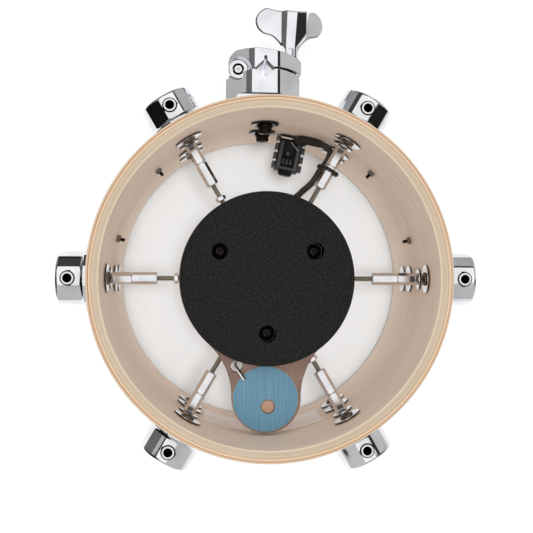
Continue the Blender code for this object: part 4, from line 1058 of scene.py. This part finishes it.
def make_cables():
    add("signal_cable_jacket", tube(CABLE_ROUTE, 2.5), CABLE_PVC, "signal_cable", angle=60)
    sleeve = tube(CABLE_ROUTE[:4], [3.3, 3.4, 3.3, 2.75])
    add("signal_cable_sleeve", sleeve, RUBBER, angle=60)

    def pair(route, spread, twist):
        """Two thin wires side by side along a route, turning round each other."""
        wires = ([], [])
        total = len(route) - 1
        for i, point in enumerate(route):
            here = Vector(point)
            ahead = (Vector(route[min(i + 1, total)]) - Vector(route[max(i - 1, 0)])).normalized()
            side = ahead.cross(Vector((0, 0, 1)))
            side = (side if side.length > 0.2 else Vector((1, 0, 0))).normalized()
            side.rotate(Matrix.Rotation(twist * i / total, 3, ahead))
            for wire, sign in zip(wires, (-1, 1)):
                wire.append(tuple(here + side * (spread * sign)))
        return [tube(wire, 0.58, 1.0, 12) for wire in wires]

    for sensor, route, twist in (("rim", RIM_LEAD_ROUTE, 0.0), ("head", HEAD_LEAD_ROUTE, 6.0)):
        black, white = pair(route, 0.62, twist)
        add(f"{sensor}_lead_black", black, CABLE_PVC, f"{sensor}_piezo_lead", angle=60)
        add(f"{sensor}_lead_white", white, WHITE_PVC, angle=60)
    place = radial(60, STRUT_Z)
    hold, cable_hold = hex_corner(8) + 0.25, 2.75
    low = 95.8 - 1.25
    inside = belt((0, 0), hold, (6.5, 5.7), cable_hold, 20)
    outside = belt((0, 0), hold + 1.0, (6.5, 5.7), cable_hold + 1.0, 20)
    tie = cut(prism(outside, low, low + 2.5, 0.2), prism(inside, low - 2, low + 5))
    head = box((-2.1, -hold - 2.4, low - 0.5), (2.1, -hold - 0.3, low + 3.1), 0.4)
    tail = box((-0.6, -hold - 3.2, low + 0.2), (0.6, -hold - 2.0, low + 2.2), 0.2)
    tie = together(boolean(tie, ("+", head)), tail)
    add("cable_tie_band", tie, TIE_NYLON, "cable_tie", place)


def make_label():
    """A thin paper sheet that follows the shell's inner wall."""
    middle_angle, middle_z, width, height = -90.6, 62.5, 95.0, 46.0
    columns, rows = 48, 8
    shape = bmesh.new()
    turns = [radians(middle_angle) + (i / columns - 0.5) * width / INNER for i in range(columns + 1)]
    levels = [middle_z + (j / rows - 0.5) * height for j in range(rows + 1)]
    sheet = closed_sheet(shape, [
        [[shape.verts.new((radius * cos(t), radius * sin(t), z)) for t in turns] for z in levels]
        for radius in (INNER - 0.06, INNER - 0.24)])
    add("inside_label_paper", sheet, PAPER)


# Tom bracket

def on_shell(outline):
    """Bracket outline points, given above the shell, in the drum's frame; a radius stays as it is."""
    return [(p[0], OUTER + p[1], *p[2:]) for p in outline]


BASE_PLATE = [(-31.5, -5.0), (25.2, -5.0), (25.2, 4.5), (-31.5, 4.5)]
BASE_FOOT = [
    (-23.4, -4.0), (11.2, -4.0), (11.2, 12.2), (2.0, 13.4), (-10.0, 13.6), (-20.0, 12.2), (-23.4, 10.5),
]
BASE_SIDE = [
    (-31.2, -4.6), (24.9, -4.6), (24.9, 26.2, 1.5), (20.7, 29.2, 3), (14.2, 30.9, 8), (7.6, 31.6),
    (-12.8, 31.2), (-20.8, 29.0), (-29.2, 27.5), (-29.2, 25.4, 0.6), (-31.2, 24.8, 0.6),
]
JAW_SIDE = [
    (-12.8, 31.8), (7.6, 32.7), (14.2, 32.3, 8), (20.9, 30.8, 5), (26.1, 28.4, 0.5), (26.4, 38.6, 3),
    (22.4, 42.0, 4), (11.2, 44.8, 14), (-1.8, 46.9, 20), (-15.8, 47.6, 14), (-24.2, 46.4, 4),
    (-28.4, 42.0, 4), (-30.0, 35.5, 1), (-20.8, 34.0),
]
ROD_WAY = [
    (-10.2, 31.2), (-2.2, 23.6, 0.4), (5.8, 31.6), (-0.3, 37.8), (-0.3, 41.4, 1.1), (-2.7, 41.4, 1.1),
    (-2.7, 38.2),
]
HINGE_PLACE = shift(-22.1, OUTER + 31.5, BRACKET_Z)
HINGE_BORE, KNUCKLE = 4.5, 7.6


def bracket_slab(outline, length, edge=0.0):
    """A piece of the bracket with the same outline all along the drum."""
    line = rounded(on_shell(outline), closed=True, steps=5)
    return prism(line, BRACKET_Z - length / 2, BRACKET_Z + length / 2, edge)


def mark_way(mesh):
    """Give the walls of the arm's way and the hinge's bore their own finish."""
    line = [Vector(p) for p in rounded(on_shell(ROD_WAY), closed=True, steps=5)]

    def on_wall(spot):
        for a, b in zip(line, line[1:] + line[:1]):
            foot, share = geometry.intersect_point_line(spot, a, b)
            if 0 <= share <= 1 and (spot - foot).length < 0.05:
                return True
        return (spot - HINGE_PLACE.translation.xy).length < HINGE_BORE + 0.1

    for face in mesh.polygons:
        face.material_index = int(abs(face.normal.z) < 0.1 and on_wall(face.center.xy))
    return mesh


def along_the_screw(outline, low, high):
    """A piece whose outline is (across, along the drum) and whose length points away from the shell."""
    mesh = prism(outline, OUTER + low, OUTER + high)
    mesh.transform(Matrix(((1, 0, 0, 0), (0, 0, 1, 0), (0, 1, 0, 0), (0, 0, 0, 1))))
    mesh.flip_normals()
    return mesh


def bracket_foot():
    """The base's raised foot, with its outer edges rounded."""
    end, face = 25.6, OUTER + 13.6
    across = rounded([
        (OUTER - 6, BRACKET_Z - end), (face, BRACKET_Z - end, 3.0), (face, BRACKET_Z + end, 3.0),
        (OUTER - 6, BRACKET_Z + end)], closed=True, steps=8)
    mesh = prism(across, -26, 14)
    mesh.transform(Matrix(((0, 0, 1, 0), (1, 0, 0, 0), (0, 1, 0, 0), (0, 0, 0, 1))))
    return boolean(bracket_slab(BASE_FOOT, 60), ("&", mesh))


def bracket_body(outline, left, right):
    """Half of the clamp: a flat middle between two chamfers, with sides that slope away from them."""
    end = BLOCK_LENGTH / 2
    half = rounded([
        (-34.0, end - 11.4), (left - 4.2, end - 3.3, 2.0), (left, end, 1.0), (right, end, 1.2),
        (right + 2.2, end - 0.72, 0.6), (29.0, end - 9.6),
    ], steps=6)
    section = half + [(x, -z) for x, z in reversed(half)]
    body = boolean(
        bracket_slab(outline, BLOCK_LENGTH + 4),
        ("&", along_the_screw([(x, BRACKET_Z + z) for x, z in section], -10, 60)))
    return softened(body, 0.6, 48, 4)


def hinge_cylinder(radius, low, high, steps=64, edge=0.0):
    return moved(rod(radius, low, high, steps, edge), HINGE_PLACE)


def knuckle_clearance(sign):
    """The hollow in the jaw round one of the base's knuckles, flared at its mouth."""
    mesh = turned([
        (0, 12.5), (8.3, 12.5), (8.3, 15.0, 1.5), (9.3, 16.0, 0.8), (10.6, 18.4, 1.5), (10.6, 47), (0, 47),
    ], 96, 4)
    return moved(mesh, HINGE_PLACE @ Matrix.Diagonal((1, 1, sign, 1)))


def end_panel(outline, sign):
    """A shallow sunk panel on an end of the block."""
    depth, end = 0.5, BLOCK_LENGTH / 2
    low, high = sorted((BRACKET_Z + sign * (end - depth), BRACKET_Z + sign * (end + 2)))
    return prism(rounded(on_shell(outline), closed=True, steps=3), low, high)


def make_bracket():
    saddle = rod(OUTER + 1.5, BRACKET_Z - 40, BRACKET_Z + 40, 192)
    bolts = [radial(*bolt) for bolt in BOLTS]
    screw_hole = moved(rod(4.0, OUTER + 14.5, OUTER + 42, 32), along_y(WING_X, BRACKET_Z))
    way = bracket_slab(ROD_WAY, BLOCK_LENGTH + 6)
    panel = [(-8.8, 18.6, 0.8), (4.6, 18.6, 0.8), (4.6, 34), (-8.8, 34)]
    recess = 12.5 + GAP
    base = boolean(
        bracket_body(BASE_SIDE, -11.8, 7.3),
        ("+", bracket_slab(BASE_PLATE, 45.4, 0.5)),
        ("+", bracket_foot()),
        ("+", hinge_cylinder(KNUCKLE, -19.2, 19.2, 96, 1.5)),
        ("-", hinge_cylinder(8.3, -recess, recess, 96)),
        ("-", hinge_cylinder(HINGE_BORE, -47, 47, 48)),
        ("-", end_panel(panel, 1)), ("-", end_panel(panel, -1)),
        ("-", way), ("-", saddle), ("-", screw_hole),
        ("-", moved(rod(3.7, OUTER - 6, OUTER + 15.5, 32), *bolts)))
    add("bracket_base_casting", mark_way(base), CHROME, "bracket_base", angle=30, looks=(WAY,),
        flats=True)
    wing_axis = along_y(WING_X, BRACKET_Z)
    jaw = boolean(
        bracket_body(JAW_SIDE, -9.8, 7.3),
        ("+", hinge_cylinder(KNUCKLE, -12.5, 12.5, 96, 0.4)),
        ("-", knuckle_clearance(1)), ("-", knuckle_clearance(-1)),
        ("-", hinge_cylinder(HINGE_BORE, -47, 47, 48)),
        ("-", way),
        ("-", moved(rod(5.1, OUTER, OUTER + 56, 40), wing_axis)),
        ("-", moved(rod(7.6, WING_SEAT, OUTER + 56, 48), wing_axis)))
    add("bracket_jaw_casting", mark_way(jaw), CHROME, "bracket_jaw", body="bracket_jaw",
        angle=30, looks=(WAY,), flats=True)
    pin = turned([
        (0, -19.3), (2.8, -19.3), (3.8, -18.5), (3.8, 18.5), (2.8, 19.3), (0.9, 19.3), (0, 18.7)], 48, 3)
    pin = marked(pin, lambda place: off_axis(place) > 2.85)
    add("hinge_pin_steel", pin, NICKEL, "hinge_pin", HINGE_PLACE, looks=(DARK_STEEL,))
    make_bracket_bolts()
    low, high = BRACKET_Z - 23, BRACKET_Z + 23
    gasket = boolean(
        ring(OUTER + 1.2, OUTER + GAP, low, high, 192, 0.0),
        ("&", box((-30.6, 60, low - 3), (24.3, OUTER + 6, high + 3))),
        ("-", moved(rod(3.7, OUTER - 6, OUTER + 15.5, 32), *bolts)))
    add("bracket_gasket_rubber", gasket, RUBBER, "bracket_gasket")


def make_bracket_bolts():
    seat = wall_seat(WASHER_RADIUS)
    under = seat - 1.2
    bolt = cut(
        turned([
            (0, OUTER + 14.5), (2.9, OUTER + 14.5), (2.9, under), (6.3, under, 0.4),
            (5.6, under - 2.4, 0.8), (5.0, under - 3.0), (5.0, under - 6.5, 0.8), (0, under - 6.5),
        ], 48, 4),
        prism(hexagon(5), under - 8, under - 3))
    washer = flat_washer(WASHER_RADIUS, 3.2, under, seat)
    for number, bolt_place in enumerate(BOLTS, 1):
        place = radial(*bolt_place)
        name = f"bracket_bolt_{number}"
        add(name + "_black", bolt, BLACK_STEEL, name, place)
        # The washer's rim gets black steel: painted shade along its edge
        add(name + "_washer", washer, SMOKED_STEEL, (), place, looks=(BLACK_STEEL,))


def wing_section(x, h):
    """Front and back of the wing at a place across it and a height over the shell."""
    share = min(1.0, max(0.0, (h - 54) / 26))
    lobe = 1.8 - 0.27 * abs(x)
    left_foot, left = -8.6, -6.3 + 1.2 * share
    right = 0.6 + 2.2 * share
    shoulder = min(10.9, max(right + 1.4, 3.0 + (h - 54.4) * 0.78))
    right_foot = shoulder + 1.4 + 3.6 * share
    crown = 4.4 - 0.004 * (x - 4) ** 2
    brow = 4.4 - 0.004 * (right - 4) ** 2
    if left <= x <= right:
        front = crown
    elif x < left:
        front = lobe + (crown - lobe) * max(0.0, (x - left_foot) / (left - left_foot))
    elif x <= shoulder:
        front = brow - (x - right) * (0.08 + 0.003 * (x - right))
    else:
        edge = brow - (shoulder - right) * (0.08 + 0.003 * (shoulder - right))
        front = lobe + (edge - lobe) * max(0.0, (right_foot - x) / (right_foot - shoulder))
    back = lobe - 3.6
    ridge = min(1.0, max(0.0, (9.0 - abs(x)) / 5.0))
    return front, min(back, back + (-4.6 - back) * ridge)


def wing_sheet(outline, rim):
    """The wing's two faces before its outline is cut: a flat-topped ridge that drops to two drooping
    lobes, rounded off to a radius along the outline."""
    line = [Vector((x, h, 0)) for x, h in outline]
    near = kdtree.KDTree(len(line))
    for i, point in enumerate(line):
        near.insert(point, i)
    near.balance()

    def faces_at(x, h):
        front, back = wing_section(x, h)
        spot = Vector((x, h, 0))
        _, i, distance = near.find(spot)
        along = line[(i + 1) % len(line)] - line[i - 1]
        outside = along.cross(spot - line[i]).z < 0
        short = 1.0 if outside else max(0.0, 1 - distance / rim)
        drop = rim * (1 - sqrt(1 - short**2))
        return front - drop, back + drop

    columns = 200
    across = [-30 + 60 * i / columns for i in range(columns + 1)]
    levels = [40.0, 43.0, 46.0, 48.0] + [48.5 + 0.5 * k for k in range(77)] + [90.0]
    shape = bmesh.new()
    grids = ([], [])
    for h in levels:
        pairs = [faces_at(x, h) for x in across]
        for side, grid in enumerate(grids):
            grid.append([shape.verts.new((x, OUTER + h, pair[side])) for x, pair in zip(across, pairs)])
    return closed_sheet(shape, grids)


def make_wing():
    """A wing whose ridge swells out of its two lobes."""
    lobe = arc((17.3, 74.3), 10.7, -78, 76, 20) + [(16.2, 84.1), (11.0, 82.8)]
    right = [(4.9, 44.0), (5.0, 50.0), (5.8, 52.6), (8.0, 56.0), (10.4, 58.6), (13.2, 61.0), (16.1, 62.9)]
    left = [(6.6, 44.0), (6.8, 50.0), (7.6, 52.6), (9.4, 56.0), (11.4, 58.6), (13.8, 61.0), (16.3, 62.9)]
    outline = right + lobe + [(0, 81.9)] + [(-x, h) for x, h in reversed(left + lobe)]
    smooth_line = [(p.x, p.y) for p in curved([(x, h, 0) for x, h in outline], 0.25)]
    wing = boolean(wing_sheet(smooth_line, 1.4), ("&", prism(on_shell(smooth_line[::3]), -14, 14)))
    washer_top = WING_SEAT + GAP + 1.0
    low = washer_top + GAP
    hub = rod(5.2, low, OUTER + 52, 48, 0.5)
    wing_place = shift(WING_X + 2.0, 0, BRACKET_Z) @ spin(13, "Y")
    axis = along_y(WING_X, BRACKET_Z)
    screw = together(moved(rod(3.0, OUTER + 16.2, low + 2, 32), axis),
                     moved(thread(3.3, 1.25, OUTER + 16, low + 0.5, 24), axis))
    whole = boolean(moved(wing, wing_place), ("+", moved(hub, axis)))
    add("wing_screw_casting", whole, CHROME, "wing_screw", body="wing_screw", angle=55)
    add("wing_screw_thread", screw, NICKEL, (), body="wing_screw", angle=50)
    washer = ring(6.8, 4.2, WING_SEAT + GAP, washer_top, 48, 0.2)
    add("wing_washer_ring", washer, NICKEL, "wing_washer", axis, "wing_washer")


# Badge plates

def make_badges():
    inner, outer = OUTER + GAP, OUTER + GAP + 1.2
    block = moved(prism(rounded_box(12.5, 38.5, 6, 8), OUTER - 25, OUTER + 6), radial(0, 0))
    screw_places = [radial(side, 0) for side in (-15, 15)]
    plate = boolean(
        ring(outer, inner, -25, 25, 192, 0.0), ("&", block),
        ("-", moved(rod(1.8, OUTER - 6, OUTER + 6, 20), *screw_places)))
    seat = wall_seat(3.2)
    screw = turned([
        (0, outer + 1.2), (2.8, outer + 0.9, 0.6), (2.8, outer + 0.05, 0.1), (1.5, outer + 0.05),
        (1.5, 116.4), (0, 116.4),
    ], 24, 3)
    screw = cut(screw, box((-2, -0.3, outer + 0.6), (2, 0.3, outer + 3)))
    screw = together(screw, thread(1.5, 0.7, 112.2, 116.6, 20, 0.45))
    nut = hex_bar(5.5, seat - 2.4, seat, 1.55)
    for number, angle in enumerate((30, 150), 1):
        name, place = f"badge_plate_{number}", upright(angle, 0, BADGE_Z)
        screws = marked(moved(screw, *screw_places), lambda spot: spot.x < 117)
        nuts = moved(nut, *screw_places)
        add(name + "_blank", plate, ALUMINIUM, name, place)
        add(name + "_screws", screws, ZINC, (), place, looks=(DARK_METAL_AND_PAINTED_SHADE,))
        add(name + "_nuts", nuts, PALE_STEEL, (), place, angle=20)


# Camera, light and floor

# The soft light's strength low down and overhead, and the heights (cosines) between which it changes
SKY_SIDE, SKY_TOP = 0.37, 1.1
SOFT_LOW, SOFT_HIGH = 0.05, 0.55
# Lamps that face down on the drum's axis: height, diameter and power
LAMPS = {"overhead": (2.2, 0.5, 22.0), "under_plate": (0.093, 0.12, 0.055)}
# How much of the floor that is looked at is plain white, and how far the table top that metal sees reaches
FLOOR_GLOW, TABLE_EDGE = 0.86, 0.37
# What polished metal sees of the room, in columns round the drum. Each begins at a direction in degrees;
# then how far from straight up each tone reaches, and the tone, 0 to 255. The last reaches straight down.
ROOM = {
    225: [(33, 255), (112, 195), (180, 232)],
    272: [(23, 255), (99, 187), (180, 232)],
    303: [(25, 255), (100, 195), (180, 225)],
    332: [(32, 255), (99, 30), (180, 220)],
    359.5: [(38.5, 255), (51, 48), (103, 197), (180, 222)],
    392: [(44, 255), (51, 30), (104, 178), (113, 30), (180, 160)],
    417.5: [(55, 255), (62, 32), (116, 173), (180, 198)],
    439: [(51, 255), (97, 62), (108, 22), (180, 240)],
    477: [(51, 255), (71, 65), (114, 156), (121, 40), (180, 205)],
    507.5: [(35, 255), (114, 30), (180, 222)],
    514: [(35, 255), (41, 34), (58, 182), (114, 106), (180, 222)],
    530: [(35, 255), (114, 30), (180, 222)],
    540: [(32, 255), (117, 20), (180, 215)],
}
ROOM_START = min(ROOM)


def make_camera():
    camera = new_object("camera", bpy.data.cameras.new("camera"))
    camera.data.lens, camera.data.sensor_width = 56.22, 36.0
    camera.data.clip_start, camera.data.clip_end = 0.01, 20.0
    turn = Vector((0.0131752, -0.0629294, 0.0039769))
    place = shift(-0.039724, 0.000748, 0.733471)
    camera.matrix_world = place @ Matrix.Rotation(turn.length, 4, turn)
    bpy.context.scene.camera = camera


def make_floor():
    shape = bmesh.new()
    bmesh.ops.create_circle(shape, cap_ends=True, radius=4.0, segments=64)
    floor = new_object("floor", to_mesh(shape, False))
    floor.location.z = FLOOR_Z * 0.001
    look = Look("pale_floor", (246, 246, 246), 0.9)
    mirrored = look.mirrored()
    seen = look.math("MAXIMUM", look.seen_directly(), mirrored)
    glow = look.node("Emission")
    lit = look.node("MixShader", _0=look.times(seen, FLOOR_GLOW), _1=look.shader.outputs[0], _2=glow)
    # Metal sees the floor as a pale table top, and the room past its edge
    distance = look.node("VectorMath", 1, {"operation": "LENGTH"}, _0=look.place)
    far = look.between(distance, TABLE_EDGE, TABLE_EDGE + 0.02)
    edge = look.times(mirrored, far)
    whole = look.node("MixShader", _0=edge, _1=lit, _2=look.node("BsdfTransparent"))
    look.put(look.tree.nodes["Material Output"], _0=whole)
    floor.data.materials.append(look.made)


def mirrored_room(sky):
    """The room as the table above says, blended over 8 degrees between neighbouring directions."""
    x, y, z = sky.axes(sky.node("TexCoord", 0))
    fall = sky.math("DIVIDE", sky.node("Math", settings={"operation": "ARCCOSINE"}, _0=z), pi)
    start = radians(ROOM_START)
    along = sky.plus(sky.times(x, cos(start)), sky.times(y, sin(start)))
    side = sky.minus(sky.times(y, cos(start)), sky.times(x, sin(start)))
    turn = sky.math("FLOORED_MODULO", sky.math("ARCTAN2", side, along), tau)
    whole = None
    for azimuth, tones in ROOM.items():
        stops = [(0.0, [tones[0][1]] * 3)]
        for (reach, tone), (_, following) in zip(tones, tones[1:]):
            stops += [((reach - 0.7) / 180, [tone] * 3), ((reach + 0.7) / 180, [following] * 3)]
        shade = sky.ramp(fall, stops)
        border = radians(azimuth - ROOM_START)
        blend = sky.between(turn, border - radians(4), border + radians(4))
        whole = sky.mix(blend, whole, shade) if whole else shade
    return whole


def make_light():
    world = bpy.data.worlds.new("studio")
    world.use_nodes = True
    bpy.context.scene.world = world
    sky = Nodes(world.node_tree)
    sky.tree.nodes.clear()
    height = sky.axes(sky.node("TexCoord", 0))[2]
    strength = sky.between(height, SOFT_LOW, SOFT_HIGH, SKY_SIDE, SKY_TOP)
    soft = sky.node("Background", _0=(1, 1, 1, 1), _1=strength)
    room = sky.node("Background", _0=mirrored_room(sky), _1=1.0)
    white = sky.node("Background", _0=(1, 1, 1, 1), _1=1.0)
    unseen = sky.node("MixShader", _0=sky.mirrored(), _1=soft, _2=room)
    whole = sky.node("MixShader", _0=sky.seen_directly(), _1=unseen, _2=white)
    sky.put(sky.tree.nodes.new("ShaderNodeOutputWorld"), _0=whole)

    for name, (height, size, power) in LAMPS.items():
        lamp = bpy.data.lights.new(name, "AREA")
        lamp.shape, lamp.size, lamp.energy = "DISK", size, power
        lamp_object = new_object(name, lamp)
        lamp_object.location.z = height
        lamp_object.visible_glossy = False
    bpy.context.scene.view_settings.view_transform = "Standard"


make_camera()
make_light()
make_floor()
make_shell()
make_hoop()
make_head()
make_tension_rods()
make_lugs()
make_struts()
make_plate()
make_tower()
make_rim_sensor()
make_jack()
make_cables()
make_label()
make_bracket()
make_wing()
make_badges()
